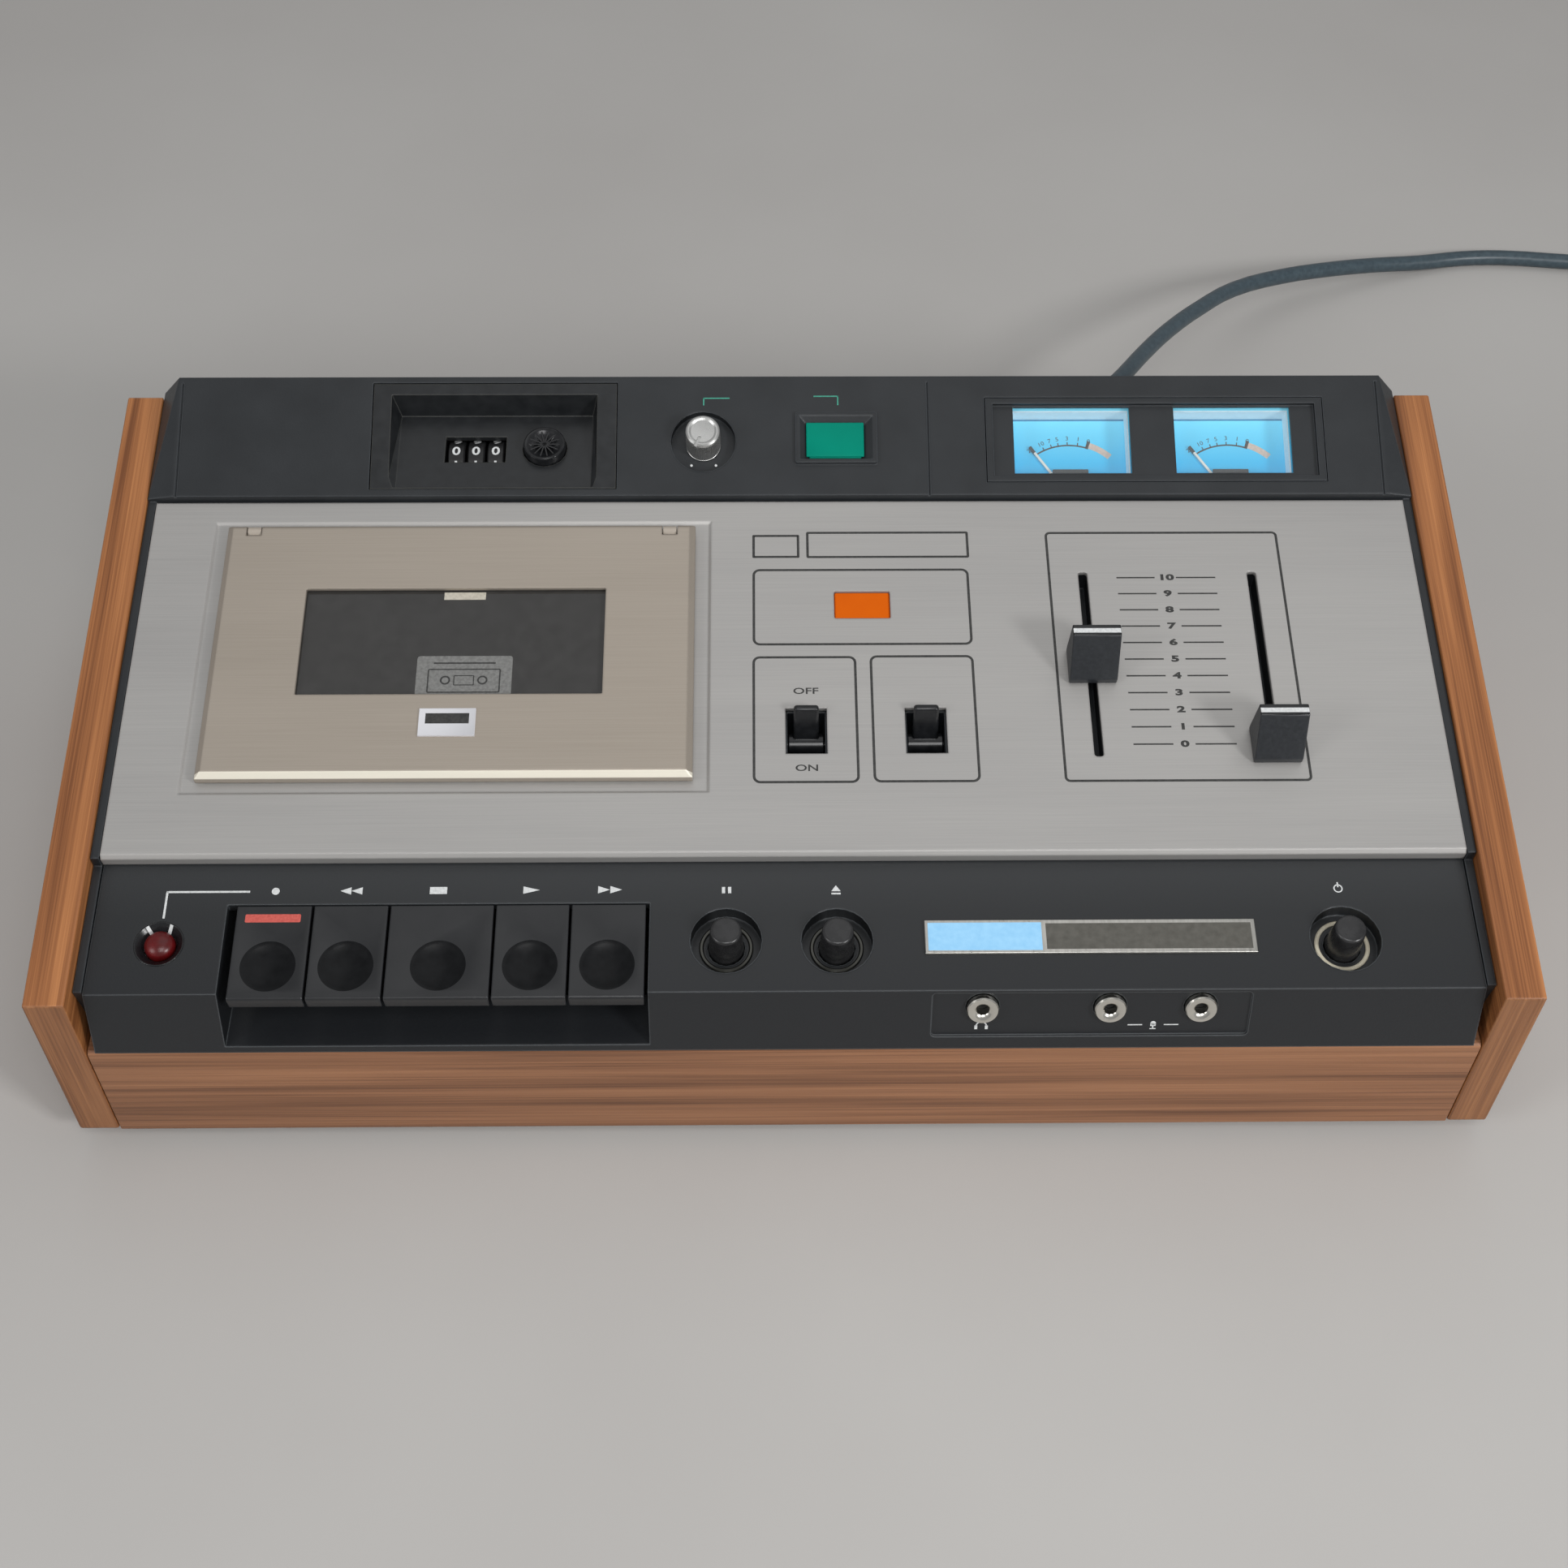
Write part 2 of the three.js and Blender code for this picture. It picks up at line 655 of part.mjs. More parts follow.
const plate_up_range = [plate_under, -plate_drop];
const plate_across = [-field_half, field_half];
const plate_outline = [
  [plate_front, -plate_drop - plate_lip],
  [plate_front + plate_thickness, -plate_drop - plate_lip],
  [plate_front + plate_thickness, plate_under],
  [plate_back, plate_under],
  [plate_back, -plate_drop],
  [plate_front + plate_bevel, -plate_drop],
  [plate_front, -plate_drop - plate_bevel],
];
const through = [plate_under - overrun, overrun];
const bed_floor = -plate_drop - bed.depth;
const bed_corners = [];
for (const [grow, z] of [[0, bed_floor], [bed.slope, -plate_drop + clearance]]) {
  for (const x of [bed.across[0] - grow, bed.across[1] + grow]) {
    for (const y of [bed.along[0] - grow, bed.along[1] + grow]) {
      bed_corners.push([x, y, z]);
    }
  }
}
const plate_cuts = [
  hull(bed_corners),
  slab(well_across, well_along, through, well_round),
  slab(lamp_window.across, lamp_window.along, through, lamp_window.round),
];
for (const left of ear_lefts) {
  const across = [left - clearance, left + ear_width + clearance];
  plate_cuts.push(block(across, [well_along[1] - overrun, pin_y + ear_slot], through));
}
for (const left of switch_lefts) {
  plate_cuts.push(block([left, left + switch_width], switch_along, through));
}
for (const x of fader_across) {
  const across = [x - slot_width / 2, x + slot_width / 2];
  plate_cuts.push(slab(across, slot_along, through, slot_width / 3));
}
const deck_plate = cut(profile(plate_outline, plate_across), plate_cuts);
piece(top, "control_panel", deck_plate, aluminium);

// The lid: a champagne plate with bevelled sides, a rolled rear edge round its hinge
// pin, and a window let in from below.
const stub_reach = 2.6;
const lid_across = [-167.2, -26.3];
const lid_along = [69, 156.4];
const lid_low = -plate_drop - bed.depth + 3 * clearance;
const lid_thickness = 3.6;
const lid_bevel = 1.8;
const lid_roll = lid_thickness / 2;
const lid_high = lid_low + lid_thickness;
const pin_z = lid_low + lid_roll;
const pin_radius = 0.7;
const window_across = [-141.2, -52.6];
const window_along = [96.1, 132.9];
const window_margin = 2;
const window_drop = 1.2;
const window_thickness = 1.6;
const roll_y = lid_along[1] - lid_roll;
const lid_corners = [];
const lid_levels = [
  [0, lid_low],
  [0, lid_low + lid_bevel],
  [lid_bevel, lid_high],
];
for (const [inset, z] of lid_levels) {
  for (const x of [lid_across[0] + inset, lid_across[1] - inset]) {
    lid_corners.push([x, lid_along[0] + inset, z], [x, roll_y, z]);
  }
}
const roll = crosswise(lid_roll, lid_across, [roll_y, pin_z], fine_sides);
const roll_trim = hull([
  [lid_across[0], roll_y - overrun, lid_low],
  [lid_across[1], roll_y - overrun, lid_low],
  [lid_across[0], lid_along[1] + overrun, lid_low],
  [lid_across[1], lid_along[1] + overrun, lid_low],
  [lid_across[0], roll_y - overrun, lid_low + lid_bevel],
  [lid_across[1], roll_y - overrun, lid_low + lid_bevel],
  [lid_across[0], lid_along[1] + overrun, lid_low + lid_bevel],
  [lid_across[1], lid_along[1] + overrun, lid_low + lid_bevel],
  [lid_across[0] + lid_bevel, roll_y - overrun, lid_high],
  [lid_across[1] - lid_bevel, roll_y - overrun, lid_high],
  [lid_across[0] + lid_bevel, lid_along[1] + overrun, lid_high],
  [lid_across[1] - lid_bevel, lid_along[1] + overrun, lid_high],
]);
const rebate_across = [window_across[0] - window_margin, window_across[1] + window_margin];
const rebate_along = [window_along[0] - window_margin, window_along[1] + window_margin];
const rebate_up = [lid_low - overrun, lid_high - window_drop];
const lid_cuts = [
  slab(window_across, window_along, [lid_low, lid_high + overrun], 1.2 * clearance),
  block(rebate_across, rebate_along, rebate_up),
];
for (const left of ear_lefts) {
  const across = [left - clearance, left + ear_width + clearance];
  const along = [pin_y - ear_radius - 2 * clearance, lid_along[1] + overrun];
  const bore = [across[0] - stub_reach, across[1] + stub_reach];
  lid_cuts.push(block(across, along, [lid_low - overrun, lid_high + overrun]));
  lid_cuts.push(crosswise(pin_radius + clearance, bore, [pin_y, pin_z], small_sides));
}
const lid_body = hull(lid_corners).add(roll.intersect(roll_trim));
piece(top, "lid_frame", cut(lid_body, lid_cuts), champagne);

const pane_top = lid_high - window_drop - clearance;
const pane = blockShape(
  [rebate_across[0] + clearance, rebate_across[1] - clearance],
  [rebate_along[0] + clearance, rebate_along[1] - clearance],
  [pane_top - window_thickness, pane_top],
);
piece(top, "lid_window", pane, smoked);

// The cassette well: a moulded tray under the deck plate, with two ears whose stub pins
// carry the lid, a bearing boss and four pads that the cassette rests on.
const well_outer_across = [well_across[0] - plastic_wall, well_across[1] + plastic_wall];
const well_outer_along = [well_along[0] - plastic_wall, well_along[1] + plastic_wall];
const well_top = plate_under - clearance;
const well_floor = -17;
const floor_thickness = 2;
const floor_low = well_floor - floor_thickness;
const cassette_width = 100.4;
const cassette_depth = 63.8;
const cassette_height = 12;
const cassette_x = -96.7;
const cassette_front = 87.5;
const pad_height = 1.8;
const pad_radius = 2.5;
const pad_inset = 8;
const hub_pitch = 42.5;
const hub_from_edge = 34.5;
const reel_y = cassette_front + hub_from_edge;
const reel_shaft = 1.5;
const capstan_offset = 20.5;
const capstan_x = cassette_x + capstan_offset;
const capstan_y = cassette_front + 6.5;
const capstan_radius = 1.25;
const bearing_wall = 2.4;
const bearing_depth = 6;
const well_parts = [
  slab(well_outer_across, well_outer_along, [floor_low, well_top], well_round + plastic_wall),
];
const tray = slab(well_across, well_along, [well_floor, overrun], well_round);
const well_body = [well_parts[0].subtract(tray)];
for (const left of ear_lefts) {
  const across = [left, left + ear_width];
  const foot = [well_outer_along[1] - plastic_wall / 2, pin_y + ear_radius];
  well_body.push(block(across, foot, [well_floor / 2, pin_z]));
  well_body.push(crosswise(ear_radius, across, [pin_y, pin_z], small_sides));
  const stub = [left - stub_reach, left + ear_width + stub_reach];
  well_body.push(crosswise(pin_radius, stub, [pin_y, pin_z], small_sides));
}
const capstan_boss = capstan_radius + clearance + bearing_wall;
well_body.push(upright(capstan_boss, [floor_low - bearing_depth, floor_low], [capstan_x, capstan_y]));
for (const x of [-1, 1]) {
  for (const y of [pad_inset * 2, cassette_depth - pad_inset]) {
    const place = [cassette_x + x * (cassette_width / 2 - pad_inset), cassette_front + y];
    well_body.push(upright(pad_radius, [well_floor, well_floor + pad_height], place, 12));
  }
}
const reel_places = {
  supply_spindle: [cassette_x - hub_pitch / 2, reel_y],
  takeup_spindle: [cassette_x + hub_pitch / 2, reel_y],
};
const hole_up = [floor_low - bearing_depth - overrun, well_floor + overrun];
const well_cuts = [upright(capstan_radius + clearance, hole_up, [capstan_x, capstan_y])];
for (const place of Object.values(reel_places)) {
  well_cuts.push(upright(reel_shaft + clearance, hole_up, place));
}
piece(top, "cassette_well", cut(joined(well_body), well_cuts), dark_plastic);

// Reel spindles: a turned hub with three drive fins above the floor, and a belt wheel
// under it.
const reel_disc = 9;
const reel_disc_thickness = 1;
const reel_hub = 3;
const reel_top = -5.5;
const fin_reach = 4.8;
const fin_thickness = 0.9;
const fin_up = [-12.5, -7.5];
const reel_wheel = 10;
const reel_wheel_up = [-23.5, -20.5];
const reel_foot = -24.5;
const disc_low = well_floor + clearance;
const reel_outline = [
  [0, reel_foot],
  [reel_shaft, reel_foot],
  [reel_shaft, reel_wheel_up[0]],
  [reel_wheel, reel_wheel_up[0]],
  [reel_wheel, reel_wheel_up[1]],
  [reel_shaft, reel_wheel_up[1]],
  [reel_shaft, disc_low],
  [reel_disc, disc_low],
  [reel_disc, disc_low + reel_disc_thickness],
  [reel_hub, disc_low + reel_disc_thickness],
  [reel_hub, reel_top - reel_hub / 2],
  [reel_hub / 3, reel_top],
  [0, reel_top],
];
for (const [name, [x, y]] of Object.entries(reel_places)) {
  const parts = [turned(reel_outline, [x, y], plain_sides)];
  for (let i = 0; i < 3; i++) {
    const fin = blockShape([0, fin_reach], [-fin_thickness / 2, fin_thickness / 2], fin_up);
    parts.push(solid(fin.rotateZ((i * 2 * Math.PI) / 3).translate(x, y, 0)));
  }
  piece(top, name, joined(parts), cream);
}

// Capstan: a steel shaft on its flywheel, and the motor that drives it by a flat belt.
const capstan_top = -6;
const flywheel_radius = 26;
const flywheel_up = [-52, -45];
const flywheel_crown = 0.8;
const flywheel_outline = [
  [0, flywheel_up[0] - flywheel_crown],
  [capstan_radius * 2, flywheel_up[0] - flywheel_crown],
  [capstan_radius * 2, flywheel_up[0]],
  [flywheel_radius, flywheel_up[0]],
  [flywheel_radius, flywheel_up[1]],
  [capstan_radius * 3, flywheel_up[1]],
  [capstan_radius * 3, flywheel_up[1] + flywheel_crown * 3],
  [capstan_radius, flywheel_up[1] + flywheel_crown * 3],
  [capstan_radius, capstan_top],
  [0, capstan_top],
];
piece(top, "capstan_flywheel", turnedShape(flywheel_outline, [capstan_x, capstan_y]), steel);

const motor_x = -140;
const motor_y = 95;
const motor_radius = 17;
const motor_up = [-42, floor_low - clearance];
const motor_edge = 1.5;
const motor_boss = 3.5;
const motor_shaft = 1;
const shaft_socket = 4;
const pulley_radius = 5;
const motor_outline = [
  [motor_shaft + clearance, motor_up[0] - motor_edge],
  [motor_boss, motor_up[0] - motor_edge],
  [motor_boss, motor_up[0]],
  [motor_radius - motor_edge, motor_up[0]],
  [motor_radius, motor_up[0] + motor_edge],
  [motor_radius, motor_up[1]],
  [0, motor_up[1]],
  [0, motor_up[0] + shaft_socket],
  [motor_shaft + clearance, motor_up[0] + shaft_socket],
  [motor_shaft + clearance, motor_up[0] - motor_edge],
];
piece(top, "drive_motor", turnedShape(motor_outline, [motor_x, motor_y], 20), steel);

const pulley_outline = [
  [0, flywheel_up[0]],
  [pulley_radius, flywheel_up[0]],
  [pulley_radius, flywheel_up[1]],
  [motor_shaft, flywheel_up[1]],
  [motor_shaft, motor_up[0] + shaft_socket - clearance],
  [0, motor_up[0] + shaft_socket - clearance],
];
piece(top, "motor_pulley", turnedShape(pulley_outline, [motor_x, motor_y], plain_sides), brass);

// The belt's outline keeps the same distance from both wheels.
const belt_gap = clearance;
const belt_thickness = 0.9;
const belt_height = 4;
function beltPath(path, distance) {
  const dx = capstan_x - motor_x;
  const dy = capstan_y - motor_y;
  const lean = Math.atan2(dy, dx);
  const tilt = Math.acos((pulley_radius - flywheel_radius) / Math.hypot(dx, dy));
  const small = pulley_radius + distance;
  const large = flywheel_radius + distance;
  path.absarc(capstan_x, capstan_y, large, lean - tilt, lean + tilt);
  path.absarc(motor_x, motor_y, small, lean + tilt, lean - tilt + 2 * Math.PI);
  return path;
}
const belt_shape = beltPath(new THREE.Shape(), belt_gap + belt_thickness);
belt_shape.holes.push(beltPath(new THREE.Path(), belt_gap));
const belt_low = (flywheel_up[0] + flywheel_up[1] - belt_height) / 2;
const belt_options = { depth: belt_height, bevelEnabled: false, curveSegments: 8 };
const belt = new THREE.ExtrudeGeometry(belt_shape, belt_options).translate(0, 0, belt_low);
piece(top, "drive_belt", belt, rubber);

// The head plate slides towards the cassette. It carries the erase head, which is one
// piece with it, the record head and the post of the pinch roller.
const head_plate_up = [well_floor + clearance, well_floor + clearance + sheet];
const head_plate_across = [-131, -61];
const head_plate_along = [75.6, 86];
const head_travel = 5;
const head_low = head_plate_up[1] + clearance;
const record_head = { x: cassette_x, half: 6, along: [76.4, 86.4], high: head_low + 9.4 };
const erase_head = { x: cassette_x - capstan_offset, half: 3.6, along: [79, 86.2], high: head_low + 8.6 };
const roller_radius = 5.5;
const roller_gap = 0.15;
const roller_up = [-14.6, -7.6];
const roller_post = 1.5;
const roller_rest = capstan_y - capstan_radius - roller_radius - roller_gap - head_travel;
const roller_place = [capstan_x, roller_rest];
function headShape({ x, half, along, high }, low) {
  const [back, face] = along;
  const shoulder = face - half / 2;
  const shape = new THREE.Shape();
  shape.moveTo(x - half, back);
  shape.lineTo(x + half, back);
  shape.lineTo(x + half, shoulder);
  shape.quadraticCurveTo(x + half / 2, face, x, face);
  shape.quadraticCurveTo(x - half / 2, face, x - half, shoulder);
  const options = { depth: high - low, bevelEnabled: false, curveSegments: 6 };
  return new THREE.ExtrudeGeometry(shape, options).translate(0, 0, low);
}
const head_plate = joined([
  block(head_plate_across, head_plate_along, head_plate_up),
  solid(headShape(erase_head, head_plate_up[0])),
  upright(roller_post, [head_plate_up[0], roller_up[1] + sheet], roller_place),
  upright(roller_post * 2, [head_plate_up[0], roller_up[0] - clearance], roller_place),
]);
piece(top, "head_plate", head_plate, steel);
piece(top, "record_head", headShape(record_head, head_low), nickel);

const roller_core = roller_post + clearance;
const roller_outline = [
  [roller_core, roller_up[0]],
  [roller_radius - clearance, roller_up[0]],
  [roller_radius, roller_up[0] + clearance],
  [roller_radius, roller_up[1] - clearance],
  [roller_radius - clearance, roller_up[1]],
  [roller_core, roller_up[1]],
  [roller_core, roller_up[0]],
];
piece(top, "pinch_roller", turnedShape(roller_outline, roller_place, plain_sides), rubber);

// Under the deck plate, one bracket holds two lever switches and two slide controls.
const control_top = plate_under - clearance;
const switch_wall = 2.8;
const cavity_margin = 0.5;
const switch_body_along = [74, 97];
const switch_low = -20;
const cavity_low = -18;
const lever_pivot = [85.6, -9];
const lever_tip = [91.5, 3];
const lever_width = 7.7;
const lever_thickness = 3;
const lever_hub = 3.2;
const lever_stub = 1.2;
const fader_half = 4.5;
const fader_body_along = [72, 146];
const fader_low = -12;
const fader_channel_low = -10;
const fader_channel_half = 1.6;
const strap_along = [80, 92];
const strap_thickness = 1.6;
const strap_up = [fader_low - strap_thickness, fader_low + strap_thickness / 3];
const strap_across = [switch_lefts[0], fader_across[1] + fader_half];
const control_parts = [block(strap_across, strap_along, strap_up)];
const control_cuts = [];
const cavity_along = [switch_along[0] + cavity_margin, switch_along[1] - cavity_margin];
for (const left of switch_lefts) {
  const cavity = [left + cavity_margin, left + switch_width - cavity_margin];
  const outer = [cavity[0] - switch_wall, cavity[1] + switch_wall];
  const bearing = [outer[0] - overrun, outer[1] + overrun];
  control_parts.push(block(outer, switch_body_along, [switch_low, control_top]));
  control_cuts.push(block(cavity, cavity_along, [cavity_low, control_top + overrun]));
  control_cuts.push(crosswise(lever_stub + clearance, bearing, lever_pivot));
}
for (const x of fader_across) {
  const body = [x - fader_half, x + fader_half];
  const channel = [x - fader_channel_half, x + fader_channel_half];
  const channel_along = [slot_along[0] - clearance, slot_along[1] + clearance];
  control_parts.push(block(body, fader_body_along, [fader_low, control_top]));
  control_cuts.push(block(channel, channel_along, [fader_channel_low, control_top + overrun]));
}
piece(top, "control_block", cut(joined(control_parts), control_cuts), black_plastic);

// Switch levers: a flat paddle on a cross hub with two stub axles.
const lever_rise = lever_tip[1] - lever_pivot[1];
const lever_run = lever_tip[0] - lever_pivot[0];
const lever_length = Math.hypot(lever_rise, lever_run);
const lever_lean = Math.atan2(lever_run, lever_rise);
switch_lefts.forEach((left, i) => {
  const middle = left + switch_width / 2;
  const half = lever_width / 2;
  const hub_reach = switch_width / 2 - cavity_margin - clearance;
  const stub_end = hub_reach + switch_wall - clearance;
  const paddle = slab([-half, half], [0, lever_length], [0, lever_thickness], lever_thickness / 3);
  const upright_paddle = geometryOf(paddle)
    .translate(0, 0, -lever_thickness / 2)
    .rotateX(Math.PI / 2 - lever_lean)
    .translate(middle, lever_pivot[0], lever_pivot[1]);
  const hub_across = [middle - hub_reach, middle + hub_reach];
  const hub = crosswise(lever_hub, hub_across, lever_pivot, small_sides);
  const stub_across = [middle - stub_end, middle + stub_end];
  const stub = crosswise(lever_stub, stub_across, lever_pivot, small_sides);
  piece(top, switch_names[i], joined([solid(upright_paddle), hub, stub]), nickel);
});

// Slide control knobs: a tall wedge that leans back to a narrow ridge, on a flat stem.
const fader_lines = [110, 83];
const fader_width = 14;
const fader_height = 15;
const fader_foot = [-8.9, 3];
const fader_ridge = [-1.9, 1.8];
const fader_foot_height = 2.2;
const stem_half = 1;
const stem_reach = 1.6;
const stem_shift = -0.9;
const stem_low = -9;
const fader_base = clearance - plate_drop;
fader_names.forEach((name, i) => {
  const line = fader_lines[i];
  const x = fader_across[i];
  const ridge_height = fader_base + fader_height;
  const outline = [
    [line + fader_foot[0], fader_base],
    [line + fader_foot[1], fader_base],
    [line + fader_foot[1], fader_base + fader_foot_height],
    [line + fader_ridge[1], ridge_height],
    [line + fader_ridge[0], ridge_height],
    [line + fader_foot[0], fader_base + fader_foot_height],
  ];
  const knob = profile(outline, [x - fader_width / 2, x + fader_width / 2]);
  const stem_along = [line + stem_shift - stem_reach, line + stem_shift + stem_reach];
  const stem = block([x - stem_half, x + stem_half], stem_along, [stem_low, fader_base + clearance]);
  piece(top, name, knob.add(stem), dark_plastic);
});

// Orange tape lamp: a lens in the deck plate with a flange under it.
const lens_flange = 2;
const lens_drop = 0.6;
const lens_low = -6;
const lens_across = [lamp_window.across[0] + clearance, lamp_window.across[1] - clearance];
const lens_along = [lamp_window.along[0] + clearance, lamp_window.along[1] - clearance];
const flange_across = [lens_across[0] - lens_flange, lens_across[1] + lens_flange];
const flange_along = [lens_along[0] - lens_flange, lens_along[1] + lens_flange];
const tape_lens = joined([
  slab(lens_across, lens_along, [lens_low, -plate_drop - lens_drop], clearance),
  block(flange_across, flange_along, [lens_low, control_top]),
]);
piece(top, "tape_lamp_lens", tape_lens, orange);

// The rear hood, one black moulding with the two liners. Its corners are given for a
// wall face that lies an inset inside the outer one.
const hood_half = inner_half - clearance;
const hood_side_lean = 7.2;
const hood_top_half = hood_half - hood_side_lean;
const hood_low = 88.5;
const hood_front_corner_z = 93;
const hood_ridge_set = 4.1;
const hood_ridge_y = hood_back - hood_ridge_set;
const hood_back_z = 99.8;
function hoodHull(inset, low) {
  const slope = Math.tan(hood_slope);
  const lower = inset / Math.cos(hood_slope);
  const topAt = (y) => hood_z + (y - hood_y) * slope - lower;
  const front = hood_front + inset;
  const ridge = hood_ridge_y - inset / 2;
  const corners = [];
  for (const side of [-1, 1]) {
    const upper_x = side * (hood_top_half - inset);
    const lower_x = side * (hood_half - inset);
    corners.push(
      [upper_x, front, topAt(front)],
      [upper_x, ridge, topAt(ridge)],
      [lower_x, front, hood_front_corner_z - inset],
      [lower_x, hood_back - inset, hood_back_z - inset],
      [lower_x, front, low],
      [lower_x, hood_back - inset, low],
    );
  }
  return hull(corners);
}

// Openings and shapes in the hood's top: the counter insert, the reducing knob's well,
// the green lamp's raised rim, the meter bezel and a shallow joint beside the middle.
const insert_across = [-126.3, -50.6];
const insert_along = [1, 36.6];
const bezel_across = [63.2, 167.7];
const bezel_along = [3.2, 31];
const knob_place = [-24.1, 16.6];
const knob_well = 10;
const knob_well_depth = 3;
const knob_wall = 2;
const knob_shaft = 3;
const rim_across = [4.3, 29.4];
const rim_along = [9.1, 26];
const rim_rise = 1.2;
const rim_wall = 1.2;
const green_across = [8.5, 24.6];
const green_along = [11, 21.7];
const green_depth = 1;
const joint_places = [-185, 45.3, 185];
const joint_width = 0.6;
const joint_depth = 0.5;
const hood_cut_low = -plastic_wall - overrun;
const hood_parts = [hoodHull(0, hood_low).subtract(hoodHull(plastic_wall, hood_low - overrun))];
for (const across of [rail_across, [-rail_across[1], -rail_across[0]]]) {
  hood_parts.push(carried(profile(rail_outline, across), top_plane));
}
const knob_cup_low = -knob_well_depth - knob_wall;
const knob_cup = upright(knob_well + knob_wall, [knob_cup_low, -plastic_wall / 2], knob_place);
const rim_block = slab(rim_across, rim_along, [-plastic_wall / 2, rim_rise], rim_wall / 2);
hood_parts.push(carried(knob_cup, hood_plane), carried(rim_block, hood_plane));
const funnel_corners = [];
const funnel_levels = [
  [rim_across[0] + rim_wall, rim_across[1] - rim_wall, rim_along[0] + rim_wall, rim_along[1] - rim_wall, rim_rise],
  [green_across[0], green_across[1], green_along[0], green_along[1], -green_depth],
];
for (const [x0, x1, y0, y1, z] of funnel_levels) {
  for (const x of [x0, x1]) {
    for (const y of [y0, y1]) funnel_corners.push([x, y, z]);
  }
}
const hood_cuts = [
  block(insert_across, insert_along, [hood_cut_low, overrun]),
  block(
    [bezel_across[0] - clearance, bezel_across[1] + clearance],
    [bezel_along[0] - clearance, bezel_along[1] + clearance],
    [hood_cut_low, overrun],
  ),
  upright(knob_well, [-knob_well_depth, overrun], knob_place, fine_sides),
  upright(knob_shaft + clearance, [knob_cup_low - overrun, 0], knob_place),
  hull(funnel_corners),
  block(green_across, green_along, [hood_cut_low, 0]),
];
for (const x of joint_places) {
  const across = [x - joint_width / 2, x + joint_width / 2];
  hood_cuts.push(block(across, [-overrun, insert_along[1]], [-joint_depth, overrun]));
}
const hood_carried_cuts = hood_cuts.map((cutter) => carried(cutter, hood_plane));
piece(deck, "rear_hood", cut(joined(hood_parts), hood_carried_cuts), black_plastic);

// Green lamp lens and the turning knob in the middle of the hood.
const green_top = -green_depth - clearance;
const green_low = -6;
const green_flange = 1.8;
const green_lens_across = [green_across[0] + clearance, green_across[1] - clearance];
const green_lens_along = [green_along[0] + clearance, green_along[1] - clearance];
const green_lens = joined([
  block(green_lens_across, green_lens_along, [green_low, green_top]),
  block(
    [green_lens_across[0] - green_flange, green_lens_across[1] + green_flange],
    [green_lens_along[0] - green_flange, green_lens_along[1] + green_flange],
    [green_low, -plastic_wall - clearance],
  ),
]);
piece(hood_top, "green_lamp_lens", green_lens, green);

const knob_radius = 5.3;
const knob_top = 8.2;
const knob_edge = 0.7;
const knob_depth = 15;
const knob_notch = { width: 1, depth: 0.7 };
const knob_rest = THREE.MathUtils.degToRad(-25.5);
const knob_outline = [
  [0, -knob_depth],
  [knob_shaft, -knob_depth],
  [knob_shaft, clearance - knob_well_depth],
  [knob_radius, clearance - knob_well_depth],
  [knob_radius, knob_top - knob_edge],
  [knob_radius - knob_edge, knob_top],
  [0, knob_top],
];
const notch = block(
  [-knob_notch.width / 2, knob_notch.width / 2],
  [-knob_radius - overrun, -knob_radius / 3],
  [knob_top - knob_notch.depth, knob_top + overrun],
);
const knob = geometryOf(turned(knob_outline, [0, 0]).subtract(notch)).rotateZ(knob_rest);
piece(hood_top, "noise_knob", knob.translate(knob_place[0], knob_place[1], 0), nickel);

// The counter insert: a plate with a sunk, level floor, a window over three number
// wheels, the brackets of their axle, and the reset button's hole.
const insert_top = -0.2;
const insert_low = insert_top - plastic_wall;
const recess_top_across = [-120.8, -56.6];
const recess_top_along = [1.4, 33.3];
const recess_floor_across = [-118.3, -58.7];
const recess_front = [2, -0.9];
const recess_rear = [28.9, -7.7];
const insert_wall = 2;
const floor_angle = Math.atan2(recess_rear[1] - recess_front[1], recess_rear[0] - recess_front[0]);
const counter_floor = { y: recess_front[0], z: recess_front[1], angle: floor_angle };
const counter_x = -94.6;
const counter_y = 14.6;
const counter_window = { across: [-104, -85.2], length: 9.9 };
const wheel_radius = 8;
const wheel_width = 5.2;
const wheel_pitch = 6.1;
const wheel_depth = 8.8;
const axle_radius = 1;
const axle_wall = 1.8;
const axle_gap = 0.8;
const bracket_half = 4;
const reset_place = [-73.2, 14.9];
const reset_radius = 6.5;
const reset_gap = 0.4;
function recessHull(grow, top_z) {
  const corners = [];
  for (const [i, side] of [-1, 1].entries()) {
    const upper_x = recess_top_across[i] + side * grow;
    const lower_x = recess_floor_across[i] + side * grow;
    corners.push(
      [upper_x, recess_top_along[0], top_z],
      [upper_x, recess_top_along[1] + grow, top_z],
      [lower_x, recess_front[0], recess_front[1] - grow],
      [lower_x, recess_rear[0] + grow / 2, recess_rear[1] - grow],
    );
  }
  return hull(corners);
}
const axle_place = [counter_y, -wheel_depth];
const wheels_half = wheel_pitch + wheel_width / 2;
const bracket_inner = wheels_half + axle_gap;
const bracket_ring = axle_radius + axle_wall;
const counter_fittings = [
  crosswise(
    axle_radius,
    [counter_x - bracket_inner - axle_wall, counter_x + bracket_inner + axle_wall],
    axle_place,
    small_sides,
  ),
];
for (const side of [-1, 1]) {
  const faces = [counter_x + side * bracket_inner, counter_x + side * (bracket_inner + axle_wall)];
  const across = [Math.min(...faces), Math.max(...faces)];
  const along = [counter_y - bracket_half, counter_y + bracket_half];
  counter_fittings.push(block(across, along, [-wheel_depth - bracket_ring, -insert_wall / 2]));
}
const counter_hole_along = [
  counter_y - counter_window.length / 2,
  counter_y + counter_window.length / 2,
];
